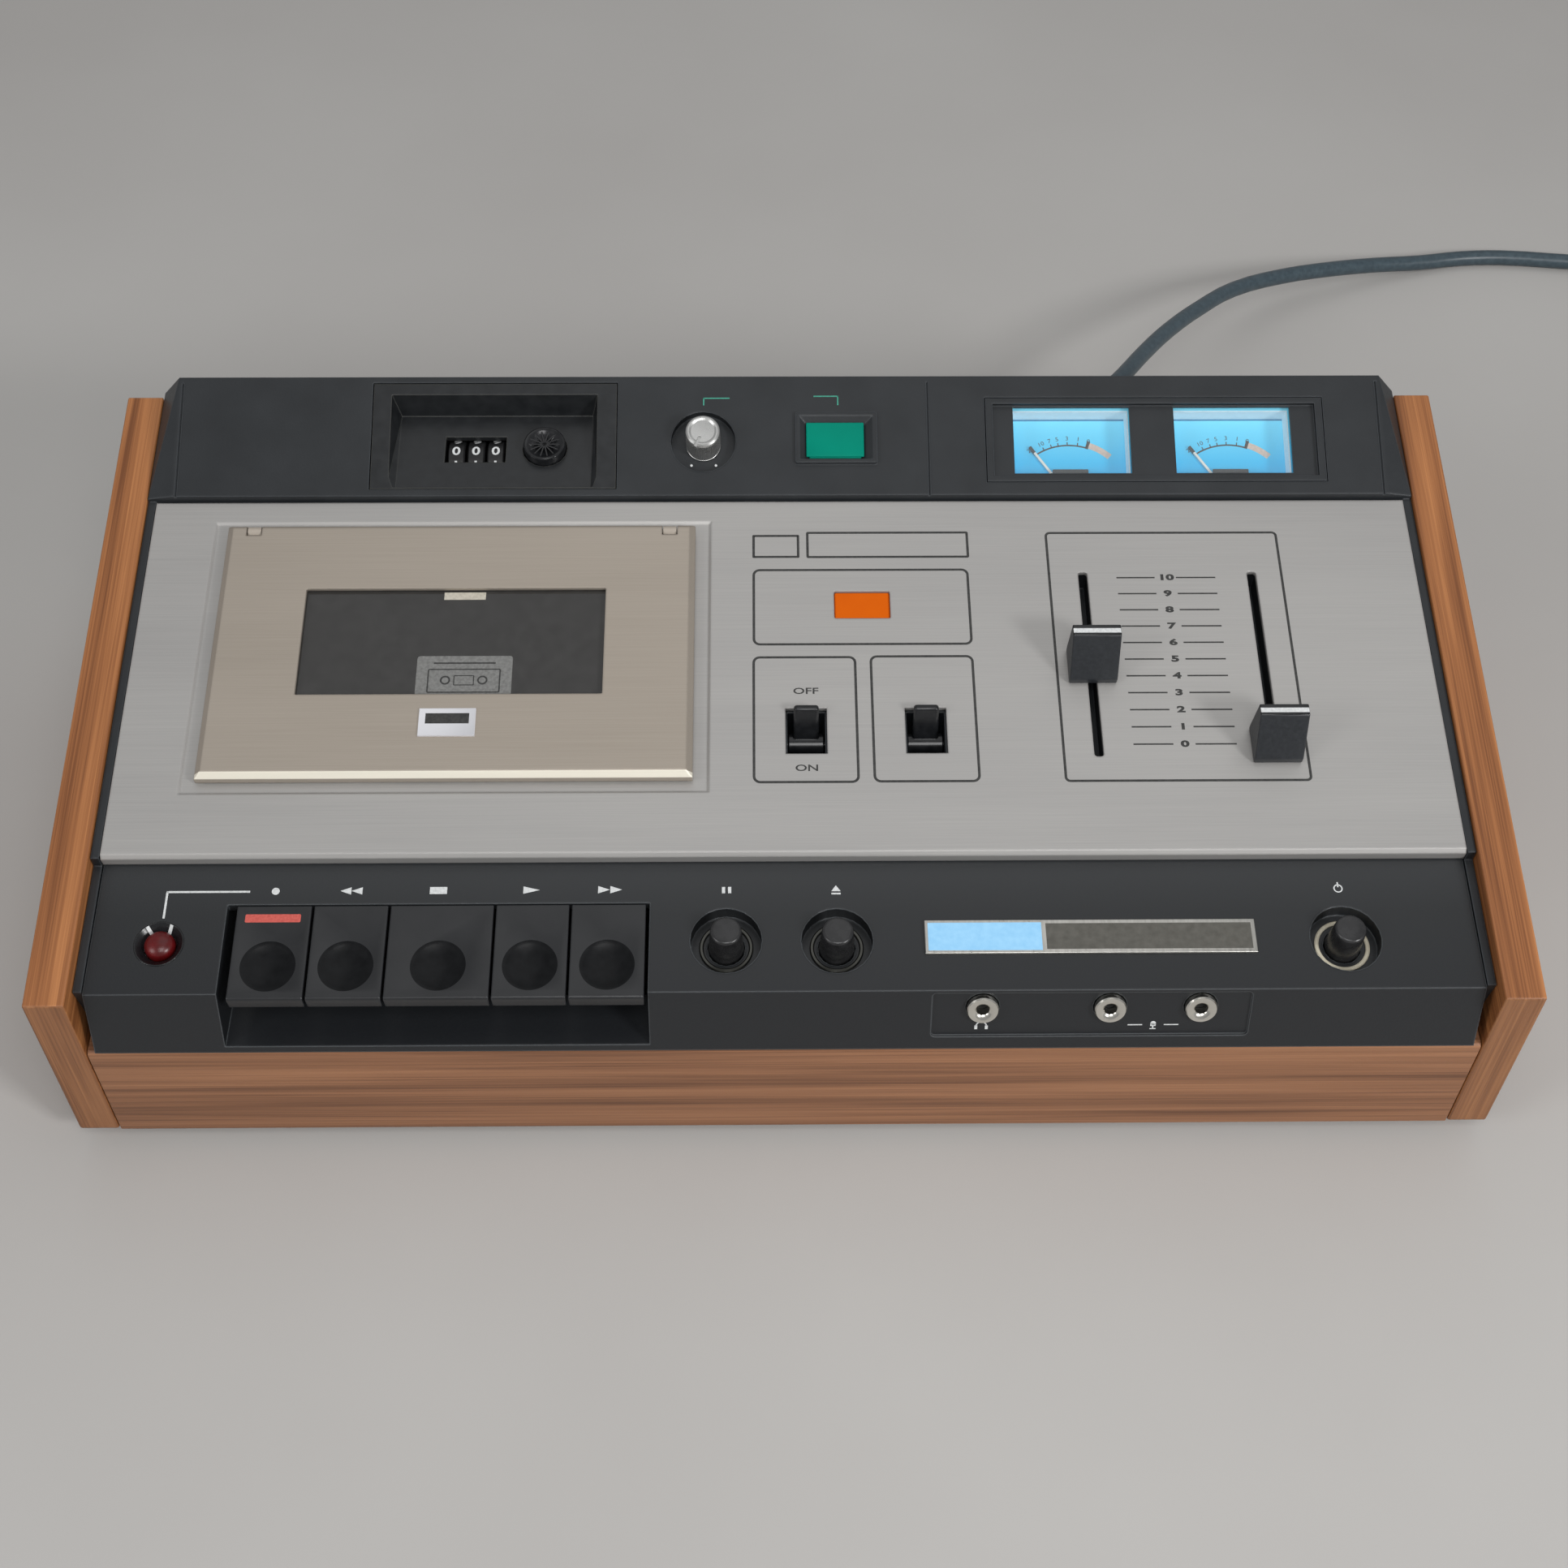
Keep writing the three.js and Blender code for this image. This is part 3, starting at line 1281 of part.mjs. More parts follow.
const counter_holes = [
  block(counter_window.across, counter_hole_along, [-2 * insert_wall, overrun]),
  upright(reset_radius + reset_gap, [-2 * insert_wall, overrun], reset_place),
];
const counter_plate = block(
  [insert_across[0] + clearance, insert_across[1] - clearance],
  [insert_along[0] + clearance, insert_along[1] - clearance],
  [insert_low, insert_top],
);
const counter_shell = counter_plate.add(recessHull(insert_wall, insert_top - clearance));
const counter_body = cut(counter_shell, [
  recessHull(0, overrun / 2),
  ...counter_holes.map((cutter) => carried(cutter, counter_floor)),
]);
const fittings = counter_fittings.map((fitting) => carried(fitting, counter_floor));
piece(hood_top, "counter_panel", joined([counter_body, ...fittings]), black_plastic);

const wheel_bore = axle_radius + clearance;
const wheel_rim = 0.5;
const wheel_names = ["counter_wheel_ones", "counter_wheel_tens", "counter_wheel_hundreds"];
const wheel_outline = [
  [wheel_bore, -wheel_width / 2],
  [wheel_radius - wheel_rim, -wheel_width / 2],
  [wheel_radius, wheel_rim - wheel_width / 2],
  [wheel_radius, wheel_width / 2 - wheel_rim],
  [wheel_radius - wheel_rim, wheel_width / 2],
  [wheel_bore, wheel_width / 2],
  [wheel_bore, -wheel_width / 2],
];
const wheel_centre = inDeck(counter_floor, axle_place);
wheel_names.forEach((name, i) => {
  const x = counter_x + (1 - i) * wheel_pitch;
  const wheel = turnedShape(wheel_outline, [0, 0], 18).rotateY(Math.PI / 2);
  piece(hood_top, name, wheel.translate(x, wheel_centre[0], wheel_centre[1]), dark_plastic);
});

const reset_proud = 3;
const reset_edge = 0.5;
const reset_stem = 2.5;
const reset_stem_low = -12;
const reset_flange = 1.1;
const reset_under = -insert_wall - clearance;
const reset_outline = [
  [0, reset_stem_low],
  [reset_stem, reset_stem_low],
  [reset_stem, reset_under - reset_flange],
  [reset_radius + reset_flange, reset_under - reset_flange],
  [reset_radius + reset_flange, reset_under],
  [reset_radius, reset_under],
  [reset_radius, reset_proud - reset_edge],
  [reset_radius - reset_edge, reset_proud],
  [0, reset_proud],
];
const reset_button = carried(turned(reset_outline, reset_place, 20), counter_floor);
piece(hood_top, "counter_reset_button", reset_button, black_plastic);

// The twin level meter: a black bezel, one clear window sheet, a case with two blue
// dials, and a needle for each on a pivot below its dial.
const bezel_depth = 4;
const bezel_recess = 1.5;
const bezel_rim = [2.2, 1.8];
const meter_centres = [89.95, 139.9];
const meter_names = ["left_needle", "right_needle"];
const dial_half = 18.1;
const dial_along = [6.5, 28.7];
const glass_margin = 3;
const glass_inset = 1.4;
const glass_up = [0.1 - bezel_depth, 1.3 - bezel_depth];
const case_half = 20.15;
const case_low = -16;
const case_rear = 30.4;
const case_front = 2.6;
const case_foot = -3;
const case_foot_top = -7.6;
const dial_z = -9.8;
const slot_top = -8.2;
const slot_half = 8;
const slot_range = [-1, 7];
const web_low = -8;
const needle_pivot_y = 1.5;
const needle_length = 21;
const needle_rest = THREE.MathUtils.degToRad(35.5);
const needle_width = 0.7;
const needle_hub = 2;
const needle_up = [-9.4, -8.7];
const pivot_radius = 0.5;
const glass_across = [
  meter_centres[0] - dial_half - glass_margin,
  meter_centres[1] + dial_half + glass_margin,
];
const glass_along = [bezel_along[0] + glass_inset, bezel_along[1] - glass_inset];
const bezel_cuts = [
  block(
    [bezel_across[0] + bezel_rim[0], bezel_across[1] - bezel_rim[0]],
    [bezel_along[0] + bezel_rim[1], bezel_along[1] - bezel_rim[1]],
    [-bezel_recess, overrun],
  ),
  block(glass_across, glass_along, [-bezel_depth - overrun, glass_up[1] + clearance]),
];
for (const x of meter_centres) {
  bezel_cuts.push(block([x - dial_half, x + dial_half], dial_along, [-bezel_depth, 0]));
}
const bezel = block(bezel_across, bezel_along, [-bezel_depth, 0]);
piece(hood_top, "meter_bezel", cut(bezel, bezel_cuts), black_plastic);

const glass = blockShape(
  [glass_across[0] + clearance, glass_across[1] - clearance],
  [glass_along[0] + clearance, glass_along[1] - clearance],
  glass_up,
);
piece(hood_top, "meter_glass", glass, clear);

const case_top = -bezel_depth - clearance;
const case_outline = [
  [case_front, case_top],
  [case_rear, case_top],
  [case_rear, case_low],
  [case_foot, case_low],
  [case_foot, case_foot_top],
  [case_front, case_foot_top],
];
const case_across = [meter_centres[0] - case_half, meter_centres[1] + case_half];
const case_gap = [meter_centres[0] + case_half, meter_centres[1] - case_half];
const case_parts = [];
const case_cuts = [
  block(case_gap, [case_foot - overrun, case_rear + overrun], [case_low - overrun, web_low]),
];
for (const x of meter_centres) {
  case_cuts.push(block([x - dial_half, x + dial_half], dial_along, [dial_z, overrun]));
  case_cuts.push(block([x - slot_half, x + slot_half], slot_range, [dial_z, slot_top]));
  case_parts.push(upright(pivot_radius, [dial_z - clearance, needle_up[1]], [x, needle_pivot_y], 8));
}
const case_body = cut(profile(case_outline, case_across), case_cuts);
piece(hood_top, "meter_case", joined([case_body, ...case_parts]), meter_blue);

meter_names.forEach((name, i) => {
  const half = needle_width / 2;
  const stem = block([-half, half], [0, needle_length], needle_up);
  const disc = upright(needle_hub, needle_up, [0, 0], 12);
  const bore = upright(pivot_radius + clearance, [dial_z, 0], [0, 0], 8);
  const needle = geometryOf(stem.add(disc).subtract(bore)).rotateZ(needle_rest);
  piece(hood_top, name, needle.translate(meter_centres[i], needle_pivot_y, 0), dark_plastic);
});

// Steel rear panel with two pairs of phono sockets and the hole for the mains lead.
const socket_reach = 8;
const socket_radius = 4.1;
const socket_nut = 5.6;
const socket_nut_height = 1.8;
const socket_bore = 1.7;
const socket_bore_depth = 6.5;
const socket_inset = 41.8;
const socket_pitch = 16;
const socket_heights = [48, 30];
const socket_places = [];
for (const column of [0, 1]) {
  const x = socket_inset - inner_half + column * socket_pitch;
  for (const height of socket_heights) socket_places.push([x, height]);
}
const gland_inset = 89.8;
const gland_x = inner_half - gland_inset;
const gland_z = 45;
const gland_neck = 6;
const panel_low = 1.5;
const panel_high = 96.5;
const panel_step = hood_low - clearance;
const panel_y = [rear_face - sheet, rear_face];
const panel_step_half = hood_half - plastic_wall - 2 * clearance;
const socket_outline = [
  [0, -sheet / 2],
  [socket_nut, -sheet / 2],
  [socket_nut, socket_nut_height],
  [socket_radius, socket_nut_height],
  [socket_radius, socket_reach],
  [socket_bore, socket_reach],
  [socket_bore, socket_reach - socket_bore_depth],
  [0, socket_reach - socket_bore_depth],
];
function rearward(points, [x, z], sides) {
  const shape = turnedShape(points, [0, 0], sides).rotateX(-Math.PI / 2);
  return shape.translate(x, rear_face, z);
}
const panel_parts = [
  block([-hood_half, hood_half], panel_y, [panel_low, panel_step]),
  block([-panel_step_half, panel_step_half], panel_y, [panel_low, panel_high]),
];
for (const place of socket_places) {
  panel_parts.push(solid(rearward(socket_outline, place, small_sides)));
}
const gland_hole = crosswise(gland_neck + clearance, [-overrun, overrun], [0, 0]);
const gland_cut = geometryOf(gland_hole).rotateZ(Math.PI / 2).translate(gland_x, rear_face, gland_z);
piece(deck, "rear_panel", joined(panel_parts).subtract(solid(gland_cut)), steel);

// Power transformer on the base: a laminated core, its winding and two mounting feet.
const core_inset = [58.8, 61.5];
const core_place = [inner_half - core_inset[0], rear_face - core_inset[1]];
const core_size = [46, 32];
const core_up = [sheet + clearance, 43];
const winding_size = [28, 48];
const winding_up = [8, 36];
const winding_round = 4;
const core_foot_size = [64, 16];
function aboutCore([width, depth]) {
  const [x, y] = core_place;
  return [
    [x - width / 2, x + width / 2],
    [y - depth / 2, y + depth / 2],
  ];
}
const transformer = joined([
  block(...aboutCore(core_size), core_up),
  slab(...aboutCore(winding_size), winding_up, winding_round),
  block(...aboutCore(core_foot_size), [core_up[0], core_up[0] + sheet]),
]);
piece(deck, "power_transformer", transformer, steel);

// Mains lead: a flanged strain relief in the rear panel, a free lead that falls to the
// table and runs off to the right, a flat coil of what is left over, and its plug.
const cord_diameter = 6;
const cord_radius = cord_diameter / 2;
const table_z = -foot_height;
const lying_z = table_z + cord_radius;
const gland_flange = 9;
const gland_flange_height = 2.2;
const gland_body = 7;
const gland_tip = 4.2;
const gland_length = 26;
const gland_inside = -3.5;
const gland_outline = [
  [0, gland_inside],
  [gland_neck, gland_inside],
  [gland_neck, clearance],
  [gland_flange, clearance],
  [gland_flange, clearance + gland_flange_height],
  [gland_body, clearance + gland_flange_height],
  [gland_tip, gland_length],
  [0, gland_length],
];
const gland_shape = rearward(gland_outline, [gland_x, gland_z], plain_sides);
piece(deck, "cord_bushing", gland_shape, rubber);

const cord_points = [
  [104, 229.8, 45],
  [104.3, 238, 44.9],
  [106.5, 252, 43.8],
  [112.5, 267, 41.2],
  [125.7, 288.8, 36],
  [135.8, 306.8, 31],
  [147.9, 325.7, 26],
  [163.1, 345.9, 20],
  [179.9, 364.7, 14],
  [202.6, 380.3, 8],
  [224.6, 389.9, 4],
  [245, 397.6, 0],
  [265, 403, -3],
  [282.7, 406.9, -4],
  [299.6, 407.4, -4],
  [326.5, 404.7, -4],
  [348, 403, -4],
  [363.7, 402.7, -4],
  [378.7, 402.7, -4],
];
const cord_sides = 10;
const cord_steps = 30;
const cord_section = new THREE.Shape();
for (let i = 0; i < cord_sides; i++) {
  const turn = (i * 2 * Math.PI) / cord_sides;
  const point = [cord_radius * Math.cos(turn), cord_radius * Math.sin(turn)];
  if (i === 0) cord_section.moveTo(...point);
  else cord_section.lineTo(...point);
}
const cord_curve = new THREE.CatmullRomCurve3(
  cord_points.map(([x, y, z]) => new THREE.Vector3(x, y, z)),
  false,
  "centripetal",
);
const cord_tube = new THREE.ExtrudeGeometry(cord_section, {
  steps: cord_steps,
  extrudePath: cord_curve,
  bevelEnabled: false,
});
piece(deck, "mains_cord", cord_tube, cord_grey);

// The coil: a spiral inwards on the table, a climb of one layer in the half turn where
// it reverses, a spiral outwards on top, and a short tail down to the plug.
const coil_x = 385;
const coil_y = 357;
const coil_outer = 45.7;
const coil_pitch = 6.45;
const coil_reverse = 3;
const coil_turns = 6.25;
const climb_half = 0.25;
const loop_steps = 24;
const coil_sides = 6;
const plug_height = 13.7;
const plug_z = table_z + plug_height / 2;
const tail_length = 34;
const tail_steps = 5;
function coilCentre(turns) {
  const inwards = Math.min(turns, coil_reverse);
  const outwards = Math.max(turns - coil_reverse, 0);
  const radius = coil_outer - coil_pitch * (inwards - outwards);
  const share = THREE.MathUtils.clamp((turns - coil_reverse + climb_half) / (2 * climb_half), 0, 1);
  const rise = (coil_pitch * (1 - Math.cos(Math.PI * share))) / 2;
  const angle = 2 * Math.PI * turns;
  const x = coil_x + radius * Math.sin(angle);
  const y = coil_y + radius * Math.cos(angle);
  return new THREE.Vector3(x, y, lying_z + rise);
}
const coil_centres = [coilCentre(0).add(new THREE.Vector3(-cord_diameter, 0, 0))];
const coil_steps = loop_steps * coil_turns;
for (let i = 0; i <= coil_steps; i++) coil_centres.push(coilCentre(i / loop_steps));
const coil_end = coilCentre(coil_turns);
for (let i = 1; i <= tail_steps; i++) {
  const share = i / tail_steps;
  const ease = (1 - Math.cos(Math.PI * Math.min(1, share * tail_steps / (tail_steps - 1)))) / 2;
  const z = THREE.MathUtils.lerp(coil_end.z, plug_z, ease);
  coil_centres.push(new THREE.Vector3(coil_end.x, coil_end.y - share * tail_length, z));
}
let coil_gap = Infinity;
for (let i = 0; i < coil_centres.length; i++) {
  for (let j = i + loop_steps / 2; j < coil_centres.length; j++) {
    const gap = coil_centres[i].distanceTo(coil_centres[j]) - cord_diameter;
    coil_gap = Math.min(coil_gap, gap);
  }
}
console.log(`least gap of the coil to itself: ${coil_gap.toFixed(2)} mm`);
function coilShape() {
  const up = new THREE.Vector3(0, 0, 1);
  const last = coil_centres.length - 1;
  const positions = [];
  coil_centres.forEach((centre, i) => {
    const before = coil_centres[Math.max(i - 1, 0)];
    const after = coil_centres[Math.min(i + 1, last)];
    const heading = after.clone().sub(before).setZ(0).normalize();
    const aside = new THREE.Vector3().crossVectors(heading, up);
    for (let side = 0; side < coil_sides; side++) {
      const turn = (side * 2 * Math.PI) / coil_sides;
      const point = centre.clone().addScaledVector(aside, cord_radius * Math.cos(turn));
      point.addScaledVector(up, cord_radius * Math.sin(turn));
      positions.push(point.x, point.y, point.z);
    }
  });
  const faces = [];
  for (let i = 0; i < last; i++) {
    for (let side = 0; side < coil_sides; side++) {
      const next = (side + 1) % coil_sides;
      const a = i * coil_sides + side;
      const b = i * coil_sides + next;
      faces.push(a, a + coil_sides, b, b, a + coil_sides, b + coil_sides);
    }
  }
  for (let side = 1; side < coil_sides - 1; side++) {
    const end = last * coil_sides;
    faces.push(0, side, side + 1);
    faces.push(end, end + side + 1, end + side);
  }
  const geometry = new THREE.BufferGeometry();
  geometry.setAttribute("position", new THREE.Float32BufferAttribute(positions, 3));
  geometry.setIndex(faces);
  geometry.computeVertexNormals();
  return geometry;
}
piece(deck, "cord_coil", coilShape(), cord_grey);

// Mains plug with two round pins, lying beside the coil.
const plug_length = 35;
const plug_half = 13;
const plug_neck = 5.5;
const plug_neck_length = 8;
const plug_round = 3;
const pin_half_pitch = 9.5;
const plug_pin = 2;
const plug_pin_length = 19;
const plug_top_y = coil_end.y - tail_length - clearance;
const plug_body_y = plug_top_y - plug_neck_length;
const plug_front_y = plug_top_y - plug_length;
function alongCord(radius, [y0, y1], [x, z], sides) {
  const geometry = new THREE.CylinderGeometry(radius, radius, y1 - y0, sides);
  return solid(geometry.translate(x, (y0 + y1) / 2, z));
}
const plug_parts = [
  slab(
    [coil_end.x - plug_half, coil_end.x + plug_half],
    [plug_front_y, plug_body_y],
    [table_z, table_z + plug_height],
    plug_round,
  ),
  alongCord(plug_neck, [plug_body_y - overrun, plug_top_y], [coil_end.x, plug_z], small_sides),
];
for (const side of [-1, 1]) {
  const place = [coil_end.x + side * pin_half_pitch, plug_z];
  const reach = [plug_front_y - plug_pin_length, plug_front_y + overrun];
  plug_parts.push(alongCord(plug_pin, reach, place, 10));
}
piece(deck, "mains_plug", joined(plug_parts), black_plastic);

// The origin lies on the table, under the middle of the deck without its lead.
deck.position.set(0, -(rear_face + socket_reach) / 2, foot_height);
const group = new THREE.Group();
group.add(deck);
export default group;
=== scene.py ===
# Looks of a top-loading cassette deck with walnut cheeks, piano keys and a black hood.
# Every piece is drawn in millimetres, flat in the plane that carries it, and then set
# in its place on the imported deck.

import math

import bmesh
import bpy
from mathutils import Matrix, Vector


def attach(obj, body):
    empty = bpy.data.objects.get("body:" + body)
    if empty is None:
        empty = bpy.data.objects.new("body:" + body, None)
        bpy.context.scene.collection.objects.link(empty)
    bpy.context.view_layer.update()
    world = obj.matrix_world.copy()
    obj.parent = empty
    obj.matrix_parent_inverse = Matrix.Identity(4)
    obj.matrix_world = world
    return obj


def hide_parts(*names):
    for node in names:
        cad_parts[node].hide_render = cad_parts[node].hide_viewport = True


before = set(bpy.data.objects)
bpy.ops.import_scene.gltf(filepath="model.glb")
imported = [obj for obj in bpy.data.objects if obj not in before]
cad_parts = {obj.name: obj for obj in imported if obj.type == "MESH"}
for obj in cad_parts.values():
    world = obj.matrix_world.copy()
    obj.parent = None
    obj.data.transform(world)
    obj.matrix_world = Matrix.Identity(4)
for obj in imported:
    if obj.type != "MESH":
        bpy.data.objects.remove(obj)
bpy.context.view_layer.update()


# The room: a pale grey floor under soft light, one lamp close in front and above, others
# to the right, left and overhead, and the camera of the photograph, which looks down on
# the deck from in front.
def paint(red, green, blue):
    """A colour as it is read off a screen, from 0 to 255, for a shader's socket."""
    shares = []
    for value in (red, green, blue):
        value = value / 255
        low = value <= 0.04045
        shares.append(value / 12.92 if low else ((value + 0.055) / 1.055) ** 2.4)
    return (*shares, 1.0)


def shader_of(finish):
    return finish.node_tree.nodes["Principled BSDF"]


def new_finish(name, colour, roughness, metallic=0.0):
    """A material whose shader has one colour and gloss, for more nodes to vary."""
    finish = bpy.data.materials.new(name)
    finish.use_nodes = True
    shader = shader_of(finish)
    shader.inputs["Base Color"].default_value = paint(*colour)
    shader.inputs["Roughness"].default_value = roughness
    shader.inputs["Metallic"].default_value = metallic
    return finish


def add_node(finish, kind, **settings):
    node = finish.node_tree.nodes.new(kind)
    for name, value in settings.items():
        if hasattr(node, name):
            setattr(node, name, value)
        else:
            node.inputs[name].default_value = value
    return node


def wire(finish, output, socket):
    finish.node_tree.links.new(output, socket)


def noise_on(finish, stretch, detail=4.0, distortion=0.0, turn=(0, 0, 0)):
    """Noise on the piece's own coordinates, with so many cells to the metre each way."""
    place = add_node(finish, "ShaderNodeTexCoord")
    cell = [1 / cells for cells in stretch]
    mapping = add_node(
        finish, "ShaderNodeMapping", vector_type="TEXTURE", Scale=cell, Rotation=turn
    )
    noise = add_node(
        finish, "ShaderNodeTexNoise", Scale=1.0, Detail=detail, Distortion=distortion
    )
    wire(finish, place.outputs["Object"], mapping.inputs["Vector"])
    wire(finish, mapping.outputs["Vector"], noise.inputs["Vector"])
    return noise.outputs["Fac"]


def ramp(finish, pattern, *stops):
    """A colour that runs through the stops (share, colour) as the pattern rises."""
    node = add_node(finish, "ShaderNodeValToRGB")
    elements = node.color_ramp.elements
    while len(elements) < len(stops):
        elements.new(0.5)
    for element, (share, colour) in zip(elements, stops):
        element.position = share
        element.color = paint(*colour)
    wire(finish, pattern, node.inputs["Fac"])
    return node.outputs["Color"]


def vary_colour(finish, pattern, *stops):
    colour = ramp(finish, pattern, *stops)
    wire(finish, colour, shader_of(finish).inputs["Base Color"])
    return colour


def ranged(finish, value, low, high, start=0.0, end=1.0):
    """The value carried from low..high to start..end, and held there beyond."""
    ends = {"From Min": low, "From Max": high, "To Min": start, "To Max": end}
    scale = add_node(finish, "ShaderNodeMapRange", **ends)
    wire(finish, value, scale.inputs["Value"])
    return scale.outputs["Result"]


def vary_roughness(finish, pattern, low, high):
    gloss = ranged(finish, pattern, 0, 1, low, high)
    wire(finish, gloss, shader_of(finish).inputs["Roughness"])


def emboss(finish, pattern, depth, edge=0.0):
    """Relief from the pattern, in metres, over edges that are broken by a small radius."""
    bump = add_node(finish, "ShaderNodeBump", Strength=1.0, Distance=depth)
    wire(finish, pattern, bump.inputs["Height"])
    if edge:
        round_edge = add_node(finish, "ShaderNodeBevel", samples=4, Radius=edge)
        wire(finish, round_edge.outputs["Normal"], bump.inputs["Normal"])
    wire(finish, bump.outputs["Normal"], shader_of(finish).inputs["Normal"])


def clouded(
    name, colour, roughness, cells, *tones,
    detail=4.0, metallic=0.0, gloss=(), relief=0.0, edge=0.0,
):
    """A finish whose tones, gloss and relief all follow one noise."""
    finish = new_finish(name, colour, roughness, metallic)
    cloud = noise_on(finish, (cells, cells, cells), detail)
    if tones:
        vary_colour(finish, cloud, *tones)
    if gloss:
        vary_roughness(finish, cloud, *gloss)
    if relief:
        emboss(finish, cloud, relief, edge)
    return finish


floor_size = 9.0
bpy.ops.object.select_all(action="DESELECT")
bpy.ops.mesh.primitive_plane_add(size=floor_size, location=(0, 0, 0))
floor = bpy.context.object
floor.name = "floor"
floor_tones = (0.3, (176, 173, 170)), (0.7, (186, 184, 181))
floor_grey = clouded("painted_floor", (181, 178, 175), 0.75, 3, *floor_tones, detail=6.0)
floor.data.materials.append(floor_grey)

camera_place = (-0.007958, -0.42506, 0.566)
camera_pitch = math.radians(51.326)
camera_yaw = math.radians(1.131)
camera_roll = math.radians(-0.644)
ahead = Vector(
    (
        math.sin(camera_yaw) * math.cos(camera_pitch),
        math.cos(camera_yaw) * math.cos(camera_pitch),
        -math.sin(camera_pitch),
    )
)
level = Vector((math.cos(camera_yaw), -math.sin(camera_yaw), 0))
below = ahead.cross(level)
aside = level * math.cos(camera_roll) + below * math.sin(camera_roll)
downward = below * math.cos(camera_roll) - level * math.sin(camera_roll)
bpy.ops.object.camera_add()
camera = bpy.context.object
camera.data.lens = 50
camera.data.sensor_width = 36
camera.matrix_world = Matrix.Translation(camera_place) @ (
    Matrix((aside, -downward, -ahead)).transposed().to_4x4()
)
bpy.context.scene.camera = camera

lamp_target = Vector((0, 0, 0.08))
for lamp_name, direction, distance, size, power in (
    ("front_lamp", (0.05, -0.55, 0.83), 1.1, 0.45, 3.4),
    ("right_lamp", (0.62, -0.59, 0.52), 1.7, 0.3, 12.5),
    ("left_lamp", (-0.72, -0.48, 0.55), 1.8, 0.6, 6.5),
    ("ceiling_lamp", (0.1, 0.35, 0.93), 1.9, 1.6, 4.0),
):
    place = lamp_target + Vector(direction).normalized() * distance
    bpy.ops.object.light_add(type="AREA", location=place)
    lamp = bpy.context.object
    lamp.name = lamp_name
    lamp.data.size = size
    lamp.data.energy = power
    lamp.rotation_euler = (lamp_target - place).to_track_quat("-Z", "Y").to_euler()
room = bpy.data.worlds.new("room")
room.use_nodes = True
room_light = room.node_tree.nodes["Background"]
room_light.inputs["Color"].default_value = (0.98, 0.99, 1.0, 1.0)
room_light.inputs["Strength"].default_value = 0.32
bpy.context.scene.world = room
bpy.context.scene.view_settings.view_transform = "Standard"


# The mains lead: a round blue-grey sheath that leaves the rear panel through a ribbed
# strain relief, falls to the table and runs off to the right. What the photograph
# doesn't show is wound into a flat coil that ends in a plug with two round pins.
mm = 0.001
deck_shift = (0, -105.75, 7)


def plane_matrix(y, z, degrees):
    """Carries millimetres of a sloping plane, with its front line at y and z, to the deck."""
    shift = Matrix.Translation(Vector((0, y, z)) + Vector(deck_shift))
    return Matrix.Scale(mm, 4) @ shift @ Matrix.Rotation(math.radians(degrees), 4, "X")


upright_plane = plane_matrix(0, 0, 0)


def alone(piece):
    bpy.ops.object.select_all(action="DESELECT")
    piece.select_set(True)
    bpy.context.view_layer.objects.active = piece


def block(name, across, along, up):
    """A cube set to its size and place."""
    bpy.ops.object.select_all(action="DESELECT")
    low, high = Vector((across[0], along[0], up[0])), Vector((across[1], along[1], up[1]))
    bpy.ops.mesh.primitive_cube_add(size=1, location=(low + high) / 2)
    piece = bpy.context.object
    piece.name = name
    piece.data.name = name
    piece.scale = high - low
    bpy.ops.object.transform_apply(location=True, rotation=True, scale=True)
    return piece


def pick(piece, kind, wanted):
    """Opens the piece for editing with only the faces, edges or corners that are wanted."""
    alone(piece)
    bpy.ops.object.mode_set(mode="EDIT")
    bpy.ops.mesh.select_mode(type=kind)
    bpy.ops.mesh.select_all(action="DESELECT")
    shape = bmesh.from_edit_mesh(piece.data)
    parts = {"FACE": shape.faces, "EDGE": shape.edges, "VERT": shape.verts}[kind]
    for part in [part for part in parts if wanted(part)]:
        part.select_set(True)
    bmesh.update_edit_mesh(piece.data)


def is_top(face):
    return face.normal.z > 0.5


def close(piece, smooth=30):
    """Ends the editing of a piece, with its faces outwards and its edges kept sharp."""
    if bpy.context.mode != "OBJECT":
        bpy.ops.object.mode_set(mode="OBJECT")
    alone(piece)
    bpy.ops.object.mode_set(mode="EDIT")
    bpy.ops.mesh.select_all(action="SELECT")
    bpy.ops.mesh.remove_doubles(threshold=0.0005)
    bpy.ops.mesh.normals_make_consistent(inside=False)
    bpy.ops.object.mode_set(mode="OBJECT")
    bpy.ops.object.shade_smooth_by_angle(angle=math.radians(smooth))
    return piece


def round_edges(piece, wanted, width, segments):
    """Rounds the edges that are wanted."""
    pick(piece, "EDGE", wanted)
    bpy.ops.mesh.bevel(offset=width, segments=segments, affect="EDGES")
    return close(piece)


def soften(piece, width, segments=2, sharper_than=30):
    """Rounds every sharp edge of a piece."""
    alone(piece)
    edge = piece.modifiers.new("edge", "BEVEL")
    edge.width = width
    edge.segments = segments
    edge.limit_method = "ANGLE"
    edge.angle_limit = math.radians(sharper_than)
    bpy.ops.object.modifier_apply(modifier=edge.name)
    return close(piece)


